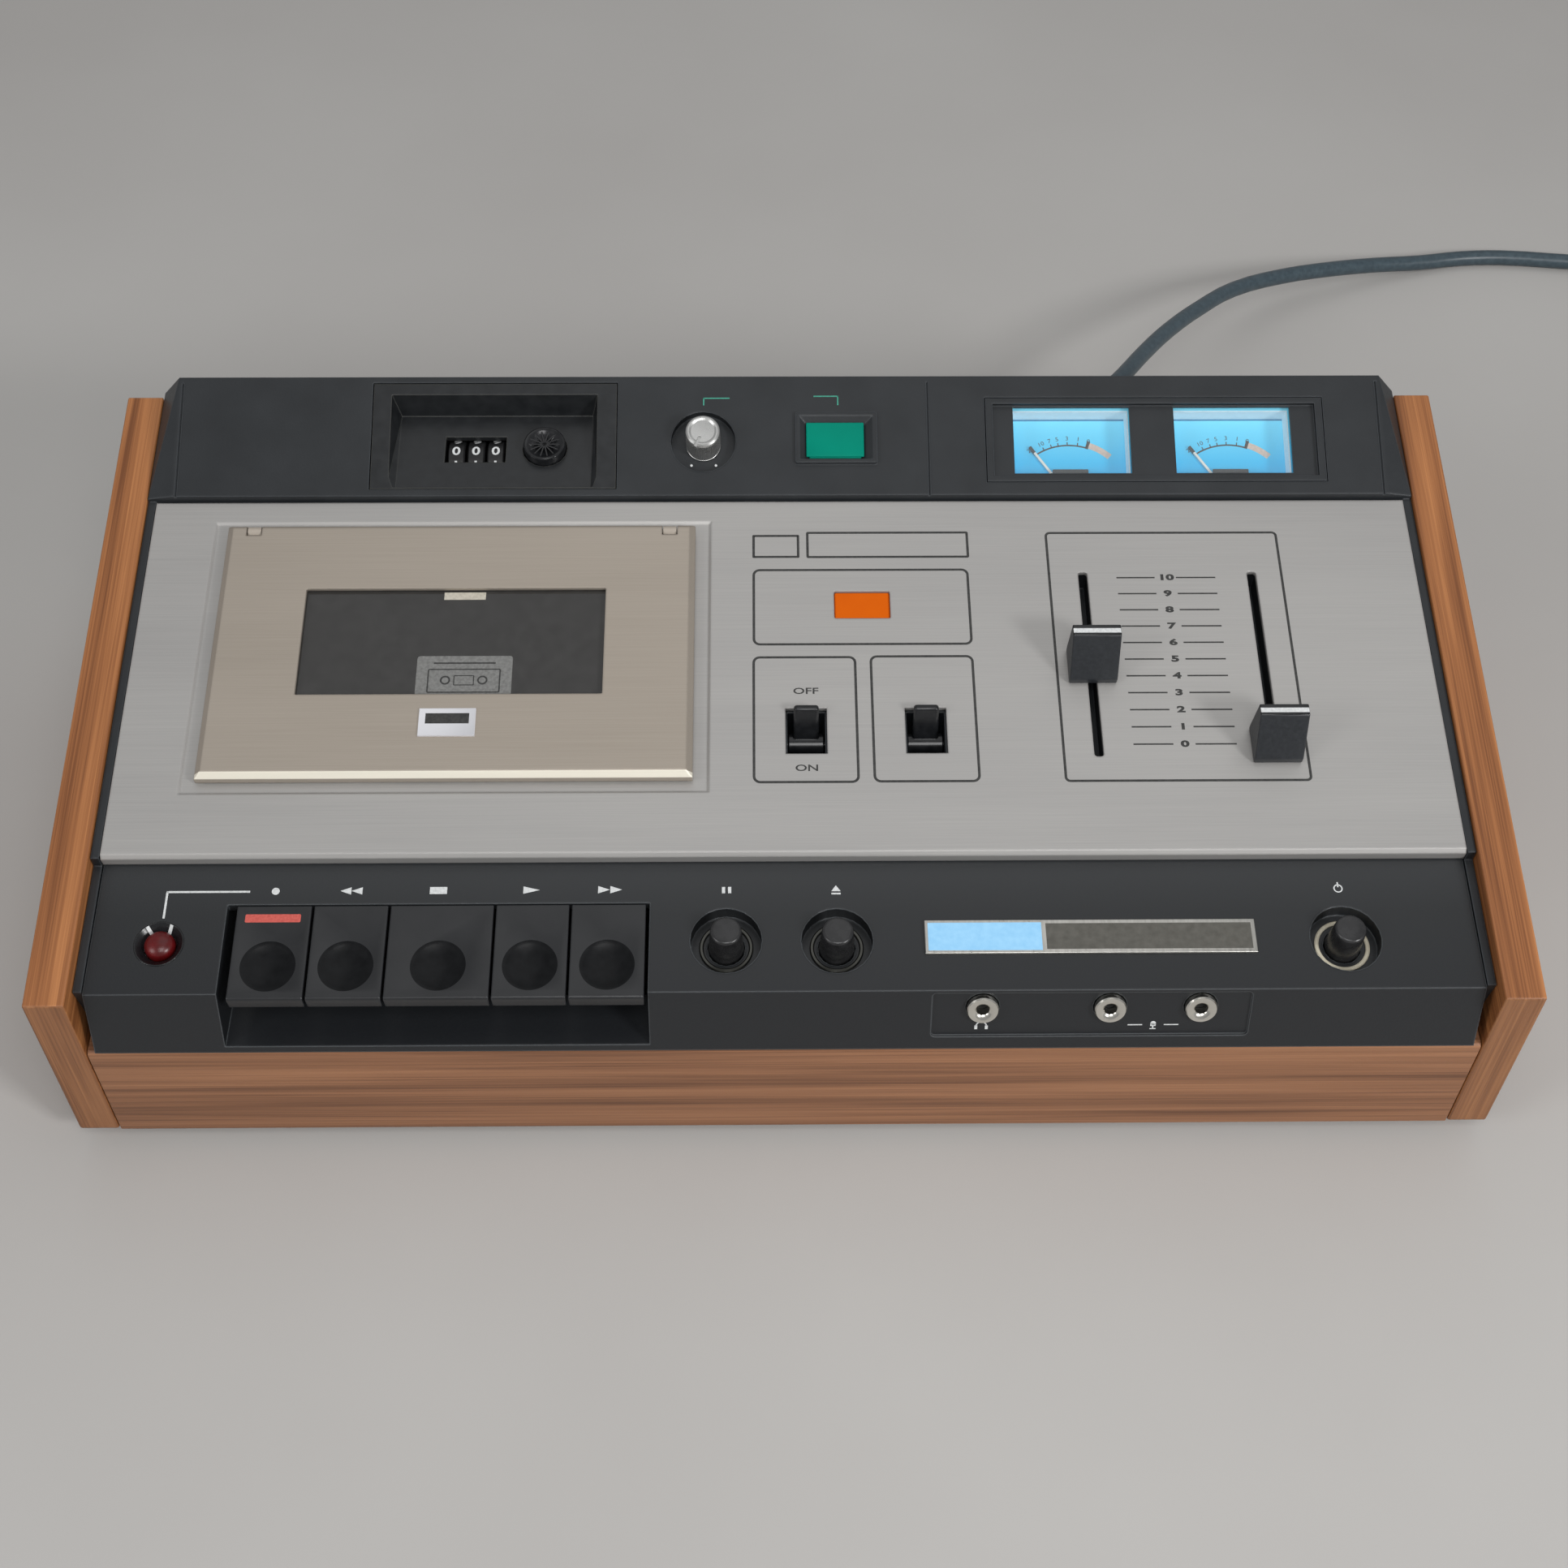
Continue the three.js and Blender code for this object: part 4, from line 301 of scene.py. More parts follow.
def turned(name, outline, place=(0, 0), sides=48):
    """A turned piece: a disc of (radius, height) drawn up, in and out through the outline.

    An outline that comes back to its start makes a ring, open in the middle."""
    bpy.ops.object.select_all(action="DESELECT")
    radius, height = outline[0]
    middle = "NOTHING" if outline[0] == outline[-1] else "NGON"
    bpy.ops.mesh.primitive_circle_add(
        vertices=sides, radius=radius, fill_type=middle, location=(*place, height)
    )
    piece = bpy.context.object
    piece.name = name
    piece.data.name = name
    bpy.ops.object.transform_apply(location=True, rotation=True, scale=True)
    bpy.ops.object.mode_set(mode="EDIT")
    bpy.ops.mesh.select_all(action="SELECT")
    for next_radius, next_height in outline[1:]:
        bpy.ops.mesh.extrude_region_move(
            TRANSFORM_OT_translate={"value": (0, 0, next_height - height)}
        )
        if abs(next_radius - radius) > 1e-6:
            ratio = next_radius / radius
            centre = (*place, next_height)
            bpy.ops.transform.resize(value=(ratio, ratio, 1), center_override=centre)
        radius, height = next_radius, next_height
    bpy.ops.object.mode_set(mode="OBJECT")
    return close(piece)


def join(name, pieces):
    """Several pieces of one finish as one."""
    for piece in pieces:
        alone(piece)
        bpy.ops.object.transform_apply(location=True, rotation=True, scale=True)
    bpy.ops.object.select_all(action="DESELECT")
    for piece in pieces:
        piece.select_set(True)
    bpy.context.view_layer.objects.active = pieces[0]
    bpy.ops.object.join()
    pieces[0].name = name
    pieces[0].data.name = name
    return pieces[0]


def fit(piece, plane, finish, body, *stands_for, slot=None):
    """Sets a piece in its place, with its finish and the body that it moves with."""
    alone(piece)
    piece.matrix_world = plane @ piece.matrix_world
    bpy.ops.object.transform_apply(location=True, rotation=True, scale=True)
    piece.data.materials.clear()
    piece.data.materials.append(finish)
    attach(piece, body)
    if stands_for:
        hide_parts(*stands_for)
    return piece


cord_diameter = 6.0
cord_points = (
    (104, 229.8, 45), (104.3, 238, 44.9), (106.5, 252, 43.8), (112.5, 267, 41.2),
    (125.7, 288.8, 36), (135.8, 306.8, 31), (147.9, 325.7, 26), (163.1, 345.9, 20),
    (179.9, 364.7, 14), (202.6, 380.3, 8), (224.6, 389.9, 4), (245, 397.6, 0),
    (265, 403, -3), (282.7, 406.9, -4), (299.6, 407.4, -4), (326.5, 404.7, -4),
    (348, 403, -4), (363.7, 402.7, -4),
)
coil_centre = (385, 357)
coil_outer = 45.7
coil_pitch = 6.45
coil_reverse = 3
coil_turns = 6.25
climb_half = 0.25
loop_steps = 24
lying_height = -4
plug_middle = -0.15
tail_length = 34
tail_steps = 5


def coil_point(turns):
    """A point of the coil, which winds inwards on the table and outwards on top of that."""
    inwards = min(turns, coil_reverse)
    outwards = max(turns - coil_reverse, 0)
    radius = coil_outer - coil_pitch * (inwards - outwards)
    climb = (turns - coil_reverse + climb_half) / (2 * climb_half)
    climb = min(max(climb, 0), 1)
    angle = 2 * math.pi * turns
    return (
        coil_centre[0] + radius * math.sin(angle),
        coil_centre[1] + radius * math.cos(angle),
        lying_height + coil_pitch * (1 - math.cos(math.pi * climb)) / 2,
    )


cord_line = list(cord_points)
coil_start = coil_point(0)
cord_line.append((coil_start[0] - cord_diameter, coil_start[1], coil_start[2]))
for step in range(int(loop_steps * coil_turns) + 1):
    cord_line.append(coil_point(step / loop_steps))
tail_x, tail_y, tail_z = cord_line[-1]
for step in range(1, tail_steps + 1):
    share = step / tail_steps
    ease = (1 - math.cos(math.pi * min(1, share * tail_steps / (tail_steps - 1)))) / 2
    cord_line.append(
        (tail_x, tail_y - share * tail_length, tail_z + (plug_middle - tail_z) * ease)
    )
cord_curve = bpy.data.curves.new("mains_lead", "CURVE")
cord_curve.dimensions = "3D"
cord_curve.resolution_u = 3
cord_curve.bevel_depth = (cord_diameter / 2 - 0.01) * mm
cord_curve.bevel_resolution = 4
cord_curve.use_fill_caps = True
spline = cord_curve.splines.new("BEZIER")
spline.bezier_points.add(len(cord_line) - 1)
for knot, place in zip(spline.bezier_points, cord_line):
    knot.co = upright_plane @ Vector(place)
    knot.handle_left_type = "AUTO"
    knot.handle_right_type = "AUTO"
mains_lead = bpy.data.objects.new("mains_lead", cord_curve)
bpy.context.scene.collection.objects.link(mains_lead)
sheath = clouded(
    "lead_sheath", (60, 74, 82), 0.4, 600, (0.35, (55, 69, 77)), (0.65, (66, 81, 89)),
    gloss=(0.3, 0.46), relief=0.00002,
)
cord_curve.materials.append(sheath)
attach(mains_lead, "deck")
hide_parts("mains_cord", "cord_coil")


# The plug: a black moulded body with a long neck and finger ribs, and two brass pins
# that are moulded in.
def lay_over(finish, share, colour):
    """Another colour over the one that the finish has, as strong as the share says."""
    shader = shader_of(finish)
    layer = add_node(finish, "ShaderNodeMix", data_type="RGBA")
    colours = [socket for socket in layer.inputs if socket.type == "RGBA"]
    colours[1].default_value = paint(*colour)
    wire(finish, share, layer.inputs["Factor"])
    wire(finish, shader.inputs["Base Color"].links[0].from_socket, colours[0])
    mixed = [socket for socket in layer.outputs if socket.type == "RGBA"][0]
    wire(finish, mixed, shader.inputs["Base Color"])


def worn_edges(finish, radius, colour, share=1.0):
    """Sharp edges painted another colour as a painted highlight, over a band as wide as the
    radius.
    """
    flat = add_node(finish, "ShaderNodeNewGeometry")
    rounded = add_node(finish, "ShaderNodeBevel", samples=6, Radius=radius)
    likeness = add_node(finish, "ShaderNodeVectorMath", operation="DOT_PRODUCT")
    wire(finish, flat.outputs["Normal"], likeness.inputs[0])
    wire(finish, rounded.outputs["Normal"], likeness.inputs[1])
    edge = ranged(finish, likeness.outputs["Value"], 0.995, 0.86, 0, share)
    lay_over(finish, edge, colour)


moulded_black = clouded(
    "moulded_black", (34, 37, 40), 0.46, 1500,
    gloss=(0.36, 0.54), relief=0.00003, edge=0.0009,
)
moulding_cloud = noise_on(moulded_black, (60, 60, 60))
vary_colour(moulded_black, moulding_cloud, (0.3, (30, 33, 36)), (0.7, (38, 41, 44)))
# The moulding's edges are painted paler: a painted highlight.
worn_edges(moulded_black, 0.0005, (80, 84, 88), 0.8)

turned_brass = new_finish("turned_brass", (190, 155, 85), 0.3, metallic=1.0)
vary_roughness(turned_brass, noise_on(turned_brass, (300, 9000, 300)), 0.22, 0.42)

plug_half_width = 13
plug_height = 13.7
plug_low = -7
plug_back = tail_y - tail_length - 0.3
plug_front = plug_back - 35
plug_body_back = plug_back - 8
neck_radius = 5.5
rib_count = 4
rib_pitch = 1.9
pin_radius = 2
pin_reach = 19
pin_spacing = 9.5
plug_body = block(
    "plug_body",
    (tail_x - plug_half_width, tail_x + plug_half_width),
    (plug_front, plug_body_back),
    (plug_low, plug_low + plug_height),
)
round_edges(
    plug_body,
    lambda edge: abs(edge.verts[0].co.z - edge.verts[1].co.z) > plug_height / 2,
    width=4,
    segments=5,
)
soften(plug_body, 1.5, segments=4)


def lengthwise(height, y=0.0, x=0.0):
    """A frame whose upright axis runs to the back of the deck."""
    place = Matrix.Translation((x, y, height))
    return place @ Matrix.Rotation(math.radians(-90), 4, "X")


neck_outline = [(neck_radius - 0.6, plug_body_back - 3)]
for rib in range(rib_count):
    rib_at = plug_body_back + 0.4 + rib * rib_pitch
    neck_outline += [
        (neck_radius, rib_at),
        (neck_radius, rib_at + 1.1),
        (neck_radius - 0.7, rib_at + 1.2),
        (neck_radius - 0.7, rib_at + 1.8),
    ]
plug_neck = turned("plug_neck", neck_outline)
plug_neck.matrix_world = lengthwise(plug_middle, x=tail_x)
plug_shell = join("plug_shell", [plug_body, plug_neck])
fit(plug_shell, upright_plane, moulded_black, "deck", "mains_plug", slot="black_plastic")
plug_pins = []
for side in (-1, 1):
    pin = turned(
        "plug_pin",
        [
            (pin_radius - 0.6, plug_front - pin_reach),
            (pin_radius, plug_front - pin_reach + 0.8),
            (pin_radius, plug_front + 1),
        ],
        sides=32,
    )
    pin.matrix_world = lengthwise(plug_middle, x=tail_x + side * pin_spacing)
    plug_pins.append(pin)
fit(join("plug_pins", plug_pins), upright_plane, turned_brass, "deck", slot="brass")

# The strain relief in the rear panel: black rubber, a flange and a tapered sleeve that
# is cut into rings, so that it bends with the lead.
soft_rubber = clouded(
    "soft_rubber", (30, 30, 31), 0.8, 400, (0.35, (26, 26, 27)), (0.75, (44, 44, 45)),
    detail=6.0, gloss=(0.7, 0.9), relief=0.00004,
)
rear_face = 203.5
gland_place = (104, 45)
sleeve_start = 2.5
sleeve_end = 26
sleeve_wide = 7
sleeve_narrow = 4.2
sleeve_rings = 6
ring_groove = 0.8
gland_outline = [(6, -3.5), (6, 0.3), (9, 0.3), (9, 2.1), (8.6, sleeve_start)]
for ring in range(sleeve_rings):
    share = ring / sleeve_rings
    start = sleeve_start + share * (sleeve_end - sleeve_start)
    radius = sleeve_wide + share * (sleeve_narrow - sleeve_wide)
    gland_outline += [
        (radius, start + 0.1),
        (radius, start + 2.4),
        (radius - ring_groove, start + 2.6),
        (radius - ring_groove, start + 3.6),
    ]
gland_outline += [(sleeve_narrow - 0.4, sleeve_end)]
gland = turned("lead_strain_relief", gland_outline)
gland.matrix_world = lengthwise(gland_place[1], y=rear_face, x=gland_place[0])
fit(gland, upright_plane, soft_rubber, "deck", "cord_bushing", slot="rubber")


# The cabinet: two walnut cheeks and a walnut strip between them under the fascia. They
# are veneered boards with oiled faces, planed edges and a broken outer edge, and the
# veneer on the cheeks' front ends stands upright.
def walnut(name, stretch_bands, stretch_pores, turn, dark, middle, light):
    """Walnut whose grain runs along the axis that the two stretches leave long."""
    wood = new_finish(name, middle, 0.5)
    bands = noise_on(wood, stretch_bands, 3.0, 0.5, turn)
    pores = noise_on(wood, stretch_pores, 6.0, 0.2, turn)
    both = add_node(wood, "ShaderNodeMix", Factor=0.42)
    wire(wood, bands, both.inputs["A"])
    wire(wood, pores, both.inputs["B"])
    vary_colour(wood, both.outputs["Result"], (0.36, dark), (0.5, middle), (0.64, light))
    vary_roughness(wood, pores, 0.4, 0.62)
    emboss(wood, pores, 0.00005)
    # The edges are painted paler: partly a painted highlight, partly the paler veneer edge.
    worn_edges(wood, 0.0005, light, 0.8)
    return wood


top_degrees = 9.35
top_turn = (math.radians(top_degrees), 0, 0)
no_turn = (0, 0, 0)
cheek_tones = (117, 68, 33), (154, 97, 54), (183, 121, 72)
end_tones = (104, 64, 36), (137, 90, 56), (162, 111, 72)
strip_tones = (102, 66, 44), (139, 95, 66), (162, 114, 81)
cheek_walnut = walnut(
    "cheek_walnut", (210, 4, 210), (2200, 16, 2200), top_turn, *cheek_tones
)
end_walnut = walnut(
    "cheek_end_walnut", (170, 210, 6), (1900, 2200, 16), no_turn, *end_tones
)
strip_walnut = walnut(
    "strip_walnut", (3.6, 170, 170), (14, 1900, 1900), no_turn, *strip_tones
)
deck_half = 205
cheek_thickness = 11.2
cheek_inside = deck_half - cheek_thickness
cheek_front_height = 65.8
cheek_depth = 205.1
cheek_rise = cheek_depth * math.tan(math.radians(top_degrees))
for node, across in (
    ("left_cheek", (-deck_half, -cheek_inside)),
    ("right_cheek", (cheek_inside, deck_half)),
):
    cheek = block(node + "_board", across, (0, cheek_depth), (0, cheek_front_height))
    pick(cheek, "VERT", lambda v: v.co.z > cheek_front_height - 1 and v.co.y > 1)
    bpy.ops.transform.translate(value=(0, 0, cheek_rise))
    close(cheek)
    round_edges(
        cheek,
        lambda edge: all(v.co.z < 1 and v.co.y < 1 for v in edge.verts),
        width=2,
        segments=6,
    )
    soften(cheek, 0.6, segments=3)
    fit(cheek, upright_plane, cheek_walnut, "deck", node, slot="walnut")
    cheek.data.materials.append(end_walnut)
    for face in cheek.data.polygons:
        if face.normal.y < -0.7:
            face.material_index = 1
strip_half = cheek_inside - 0.3
strip_height = 41.6
strip = block("front_strip", (-strip_half, strip_half), (0.4, 9.4), (0, strip_height))
round_edges(
    strip,
    lambda edge: all(v.co.z > strip_height - 1 and v.co.y < 1 for v in edge.verts),
    width=1.5,
    segments=5,
)
soften(strip, 0.3, segments=2, sharper_than=50)
fit(strip, upright_plane, strip_walnut, "deck", "front_rail", slot="walnut")


# The chassis: a zinc-plated steel base with vents, rubber feet, the painted rear panel
# with its sockets, and the transformer and drive parts that the covers hide. The base is
# folded and screwed together.
def keep(finish, *nodes):
    """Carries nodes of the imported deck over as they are, with the finish."""
    for node in nodes:
        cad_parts[node].data.materials.clear()
        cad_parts[node].data.materials.append(finish)


zinc_steel = clouded(
    "zinc_steel", (160, 162, 160), 0.42, 140,
    (0.3, (142, 145, 144)), (0.7, (176, 177, 172)),
    detail=5.0, metallic=0.9, gloss=(0.32, 0.52), relief=0.00003,
)
keep(zinc_steel, "base_plate", "power_transformer", "drive_motor", "capstan_flywheel")
keep(zinc_steel, "head_plate", "key_rod")
feet = ("front_left_foot", "front_right_foot", "rear_left_foot", "rear_right_foot")
keep(soft_rubber, *feet, "drive_belt", "pinch_roller")
keep(turned_brass, "motor_pulley")
keep(moulded_black, "control_block")
cream_plastic = clouded(
    "cream_plastic", (208, 200, 178), 0.45, 500,
    (0.3, (198, 189, 166)), (0.7, (214, 207, 187)),
    relief=0.00003, edge=0.0002,
)
keep(cream_plastic, "supply_spindle", "takeup_spindle")
bright_nickel = clouded(
    "bright_nickel", (214, 211, 203), 0.22, 700,
    metallic=1.0, gloss=(0.14, 0.32), relief=0.00001,
)
keep(bright_nickel, "record_head")
painted_steel = clouded(
    "painted_steel", (58, 60, 62), 0.5, 1300, (0.3, (52, 54, 56)), (0.7, (66, 68, 70)),
    detail=3.0, gloss=(0.42, 0.62), relief=0.00008, edge=0.0003,
)
keep(painted_steel, "rear_panel")

rear_plane = upright_plane @ lengthwise(0, y=rear_face)
white_plastic = clouded("white_plastic", (222, 220, 212), 0.4, 900, gloss=(0.32, 0.5))
red_plastic = clouded("red_plastic", (176, 34, 30), 0.4, 900, gloss=(0.32, 0.5))
ring_outline = [(5.3, 1.9), (5.3, 3.0), (4.9, 3.4), (4.2, 3.4), (4.2, 1.9), (5.3, 1.9)]
shell_outline = [(4.3, 1.5), (4.3, 7.5), (3.9, 8), (2.1, 8), (1.8, 7.7), (1.8, 2.2)]
for column, x in enumerate((-152, -136), 1):
    for row, height, plastic in (
        ("upper", 48, white_plastic),
        ("lower", 30, red_plastic),
    ):
        place = (x, -height)
        ring = turned(f"socket_ring_{column}_{row}", ring_outline, place)
        fit(ring, rear_plane, plastic, "deck")
        shell = turned(f"socket_shell_{column}_{row}", shell_outline, place)
        fit(shell, rear_plane, bright_nickel, "deck")


# Cross-head screws of zinc-plated steel hold the rear panel and the base. One is turned
# and has its cross cut in, and the others are copies of it.
def cut_with(piece, tool):
    """Cuts the tool's shape out of a piece."""
    alone(piece)
    cut = piece.modifiers.new("cut", "BOOLEAN")
    cut.object = tool
    cut.solver = "EXACT"
    bpy.ops.object.modifier_apply(modifier=cut.name)
    bpy.data.objects.remove(tool)


def quarter_round(radius, low, reach, rise, steps):
    """The points of an outline that curves from upright to flat."""
    turns = [step / steps * math.pi / 2 for step in range(steps + 1)]
    return [(radius + reach * math.cos(t), low + rise * math.sin(t)) for t in turns]


screw_radius = 3.2
screw_head = quarter_round(0, 0, screw_radius, rise=1.5, steps=6)[1:-1]
screw_outline = [(2, -0.8), (screw_radius, 0.05), *screw_head]
screw = turned("screw_pattern", screw_outline, sides=32)
for x_half, y_half in ((2.3, 0.35), (0.35, 2.3)):
    cut_with(screw, block("screw_cut", (-x_half, x_half), (-y_half, y_half), (0.7, 3)))
close(screw)
rear_places = [(-184, -12), (184, -12), (-184, -76), (184, -76), (0, -12), (60, -92)]
base_places = [(-120, -60), (120, -60), (-120, -180), (120, -180)]
base_plane = upright_plane @ Matrix.Rotation(math.radians(180), 4, "X")
for name, plane, places in (
    ("rear_screw_", rear_plane, rear_places),
    ("base_screw_", base_plane, base_places),
):
    for number, place in enumerate(places, 1):
        alone(screw)
        bpy.ops.object.duplicate()
        copy = bpy.context.object
        copy.name = f"{name}{number}"
        copy.location = (*place, 0)
        fit(copy, plane, zinc_steel, "deck")
bpy.data.objects.remove(screw)


# The deck plate: one sheet of aluminium with its brushing along the deck, clear
# lacquered, folded down at the front, and printed in dark grey with frames, scales and
# numerals.
def brushed(name, dark, light, rough, metallic=0.5):
    metal = new_finish(name, light, rough, metallic)
    lines = noise_on(metal, (30, 4200, 4200), detail=4.0)
    wide = noise_on(metal, (5, 30, 30), detail=2.0)
    both = add_node(metal, "ShaderNodeMix", Factor=0.5)
    wire(metal, lines, both.inputs["A"])
    wire(metal, wide, both.inputs["B"])
    vary_colour(metal, both.outputs["Result"], (0.35, dark), (0.65, light))
    vary_roughness(metal, lines, rough - 0.08, rough + 0.1)
    emboss(metal, lines, 0.000006, edge=0.0008)
    return metal


brushed_aluminium = brushed("brushed_aluminium", (172, 170, 168), (184, 182, 179), 0.46)
keep(brushed_aluminium, "control_panel")
top_plane = plane_matrix(0, cheek_front_height, top_degrees)
plate_face = -1.0
ink_lift = 0.005
ink_height = 0.03
ink_top = ink_lift + ink_height


def ink(name, colour, thin, full, roughness=0.5, cells=1500, shares=(0.2, 0.6)):
    """Screen-printed ink, which lies a little thinner in places."""
    tones = zip(shares, (thin, full))
    return clouded(name, colour, roughness, cells, *tones, detail=6.0)


dark_ink = ink(
    "dark_ink", (46, 46, 46), (40, 40, 40), (66, 66, 64), cells=1200, shares=(0.3, 0.8)
)


def printed_frame(name, across, along, face, line, corner):
    """A printed outline with round corners."""
    bpy.ops.object.select_all(action="DESELECT")
    middle = ((across[0] + across[1]) / 2, (along[0] + along[1]) / 2, face + ink_lift)
    bpy.ops.mesh.primitive_plane_add(size=1, location=middle)
    outline = bpy.context.object
    outline.name = name
    outline.data.name = name
    outline.scale = (across[1] - across[0], along[1] - along[0], 1)
    bpy.ops.object.transform_apply(location=True, rotation=True, scale=True)
    bpy.ops.object.mode_set(mode="EDIT")
    bpy.ops.mesh.select_all(action="SELECT")
    bpy.ops.mesh.bevel(offset=corner, segments=6, affect="VERTICES")
    bpy.ops.mesh.select_all(action="SELECT")
    bpy.ops.mesh.inset(thickness=line)
    bpy.ops.mesh.delete(type="FACE")
    bpy.ops.mesh.select_all(action="SELECT")
    bpy.ops.mesh.extrude_region_move(
        TRANSFORM_OT_translate={"value": (0, 0, ink_height)}
    )
    return close(outline)


def printed_bar(name, across, along, face, corner=0.0):
    """A filled printed shape."""
    bar = block(name, across, along, (face + ink_lift, face + ink_top))
    if corner:
        round_edges(
            bar, lambda edge: edge.calc_length() < 2 * ink_height, corner, segments=5
        )
    return close(bar)


def printed_disc(name, radius, place, face=0.0, sides=32):
    rim = [(radius, face + ink_lift), (radius, face + ink_top)]
    return turned(name, rim, place, sides)


def printed_ring(name, inner, outer, place, face=0.0):
    low, high = face + ink_lift, face + ink_top
    rim = [(inner, low), (outer, low), (outer, high), (inner, high), (inner, low)]
    return turned(name, rim, place, sides=32)


def printed_words(name, words, place, height, wide, face, bold=0.0):
    """Generic lettering, such as numbers or ON and OFF, centred on its place."""
    bpy.ops.object.select_all(action="DESELECT")
    bpy.ops.object.text_add(location=(0, 0, 0))
    text = bpy.context.object
    text.data.body = words
    text.data.size = height * 1.4
    text.data.offset = bold
    text.data.resolution_u = 3
    text.data.align_x = "CENTER"
    text.data.align_y = "CENTER"
    text.data.extrude = ink_height / 2
    bpy.ops.object.convert(target="MESH")
    text = bpy.context.object
    text.name = name
    text.data.name = name
    text.scale = (wide, 1, 1)
    text.location = (*place, face + ink_lift + ink_height / 2)
    bpy.ops.object.transform_apply(location=True, rotation=True, scale=True)
    return close(text)


frame_line = 0.75
frame_corner = 2.2
for name, across, along, corner in (
    ("mark_frame", (-9.1, 5.1), (146.3, 154.8), 0.4),
    ("title_frame", (7.2, 56.4), (146.2, 155.9), 0.6),
    ("tape_lamp_frame", (-9.1, 55.9), (114.9, 142.2), frame_corner),
    ("mode_frame", (-9.2, 21.3), (68.3, 111.1), frame_corner),
    ("tape_frame", (25.2, 55.8), (68.4, 111.3), frame_corner),
    ("level_frame", (79.7, 150.5), (68.3, 155.6), 1.6),
):
    outline = printed_frame(name, across, along, plate_face, frame_line, corner)
    fit(outline, top_plane, dark_ink, "deck")
scale_first = 80.7
scale_step = 5.8
scale_middle = 115.2
dash_half = 0.24
dashes = []
numerals = []
for number in range(11):
    s = scale_first + number * scale_step
    for across in ((100.3, 111.8), (118.2, 130.1)):
        along = (s - dash_half, s + dash_half)
        dashes.append(printed_bar("scale_dash", across, along, plate_face))
    place = (scale_middle, s)
    numeral = printed_words(
        "scale_numeral", str(number), place, 2.0, 1.7, plate_face, bold=0.13
    )
    numerals.append(numeral)
fit(join("level_scale_lines", dashes), top_plane, dark_ink, "deck")
fit(join("level_scale_numerals", numerals), top_plane, dark_ink, "deck")
for name, words, s in (("mode_off", "OFF", 99), ("mode_on", "ON", 73.2)):
    lettering = printed_words(name, words, (6.3, s), 2.1, 1.45, plate_face, bold=0.04)
    fit(lettering, top_plane, dark_ink, "deck")


# The lid: a thick plate, brushed and tinted champagne, with a highlight painted along
# its front bevel, and a smoked acrylic window let in flush. A silver badge is stuck on,
# and a drawing of a cassette is printed on the window. Under it lies the moulded well.
def share_along(finish, plane, axis, low, high):
    """A share that rises from 0 to 1 between two measures along an axis of a plane."""
    place = add_node(finish, "ShaderNodeTexCoord")
    location, turn, scale = plane.decompose()
    on_plane = add_node(
        finish,
        "ShaderNodeMapping",
        vector_type="TEXTURE",
        Location=location,
        Rotation=turn.to_euler(),
        Scale=scale,
    )
    split = add_node(finish, "ShaderNodeSeparateXYZ")
    wire(finish, place.outputs["Object"], on_plane.inputs["Vector"])
    wire(finish, on_plane.outputs["Vector"], split.inputs["Vector"])
    return ranged(finish, split.outputs[axis], low, high)


lid_front = 69
lid_bevel = 1.8
lid_face = 2.9
pane_face = 1.4
black, white = (0, 0, 0), (255, 255, 255)
champagne = brushed("brushed_champagne", (168, 158, 146), (179, 169, 157), 0.44)
# Painted highlight: the front bevel is painted near white, for the bright line of light along
# it.
over_bevel = share_along(champagne, top_plane, "Y", lid_front, lid_front + lid_bevel)
painted_highlight_band = ramp(
    champagne, over_bevel, (0.04, black), (0.1, white), (0.9, white), (0.98, black)
)
lay_over(champagne, painted_highlight_band, (250, 244, 228))
keep(champagne, "lid_frame")
well_moulding = clouded(
    "well_moulding", (34, 36, 38), 0.5, 1500,
    gloss=(0.4, 0.58), relief=0.00002, edge=0.0004,
)
ear_height = share_along(well_moulding, top_plane, "Z", plate_face, 0)
vary_colour(well_moulding, ear_height, (0.4, (34, 36, 38)), (0.6, (171, 161, 149)))
keep(well_moulding, "cassette_well")
smoked_acrylic = clouded(
    "smoked_acrylic", (54, 53, 52), 0.1, 260, (0.3, (50, 49, 48)), (0.7, (58, 57, 56)),
    gloss=(0.07, 0.13),
)
shader_of(smoked_acrylic).inputs["Alpha"].default_value = 0.86
keep(smoked_acrylic, "lid_window")

badge_across = (-104.8, -88.5)
badge_along = (81.8, 91)
badge_silver = clouded(
    "badge_silver", (224, 224, 228), 0.3, 800, metallic=0.4, gloss=(0.24, 0.38)
)
badge = block("lid_badge", badge_across, badge_along, (lid_face - 0.3, lid_face + 0.6))
pick(badge, "FACE", is_top)
bpy.ops.mesh.inset(thickness=0.7)
bpy.ops.transform.translate(value=(0, 0, -0.25))
soften(close(badge), 0.15)
fit(badge, top_plane, badge_silver, "lid")
badge_field = block(
    "lid_badge_field",
    (badge_across[0] + 1.9, badge_across[1] - 1.9),
    (badge_along[0] + 4.2, badge_along[1] - 1.6),
    (lid_face + 0.3, lid_face + 0.4),
)
fit(close(badge_field), top_plane, dark_ink, "lid")

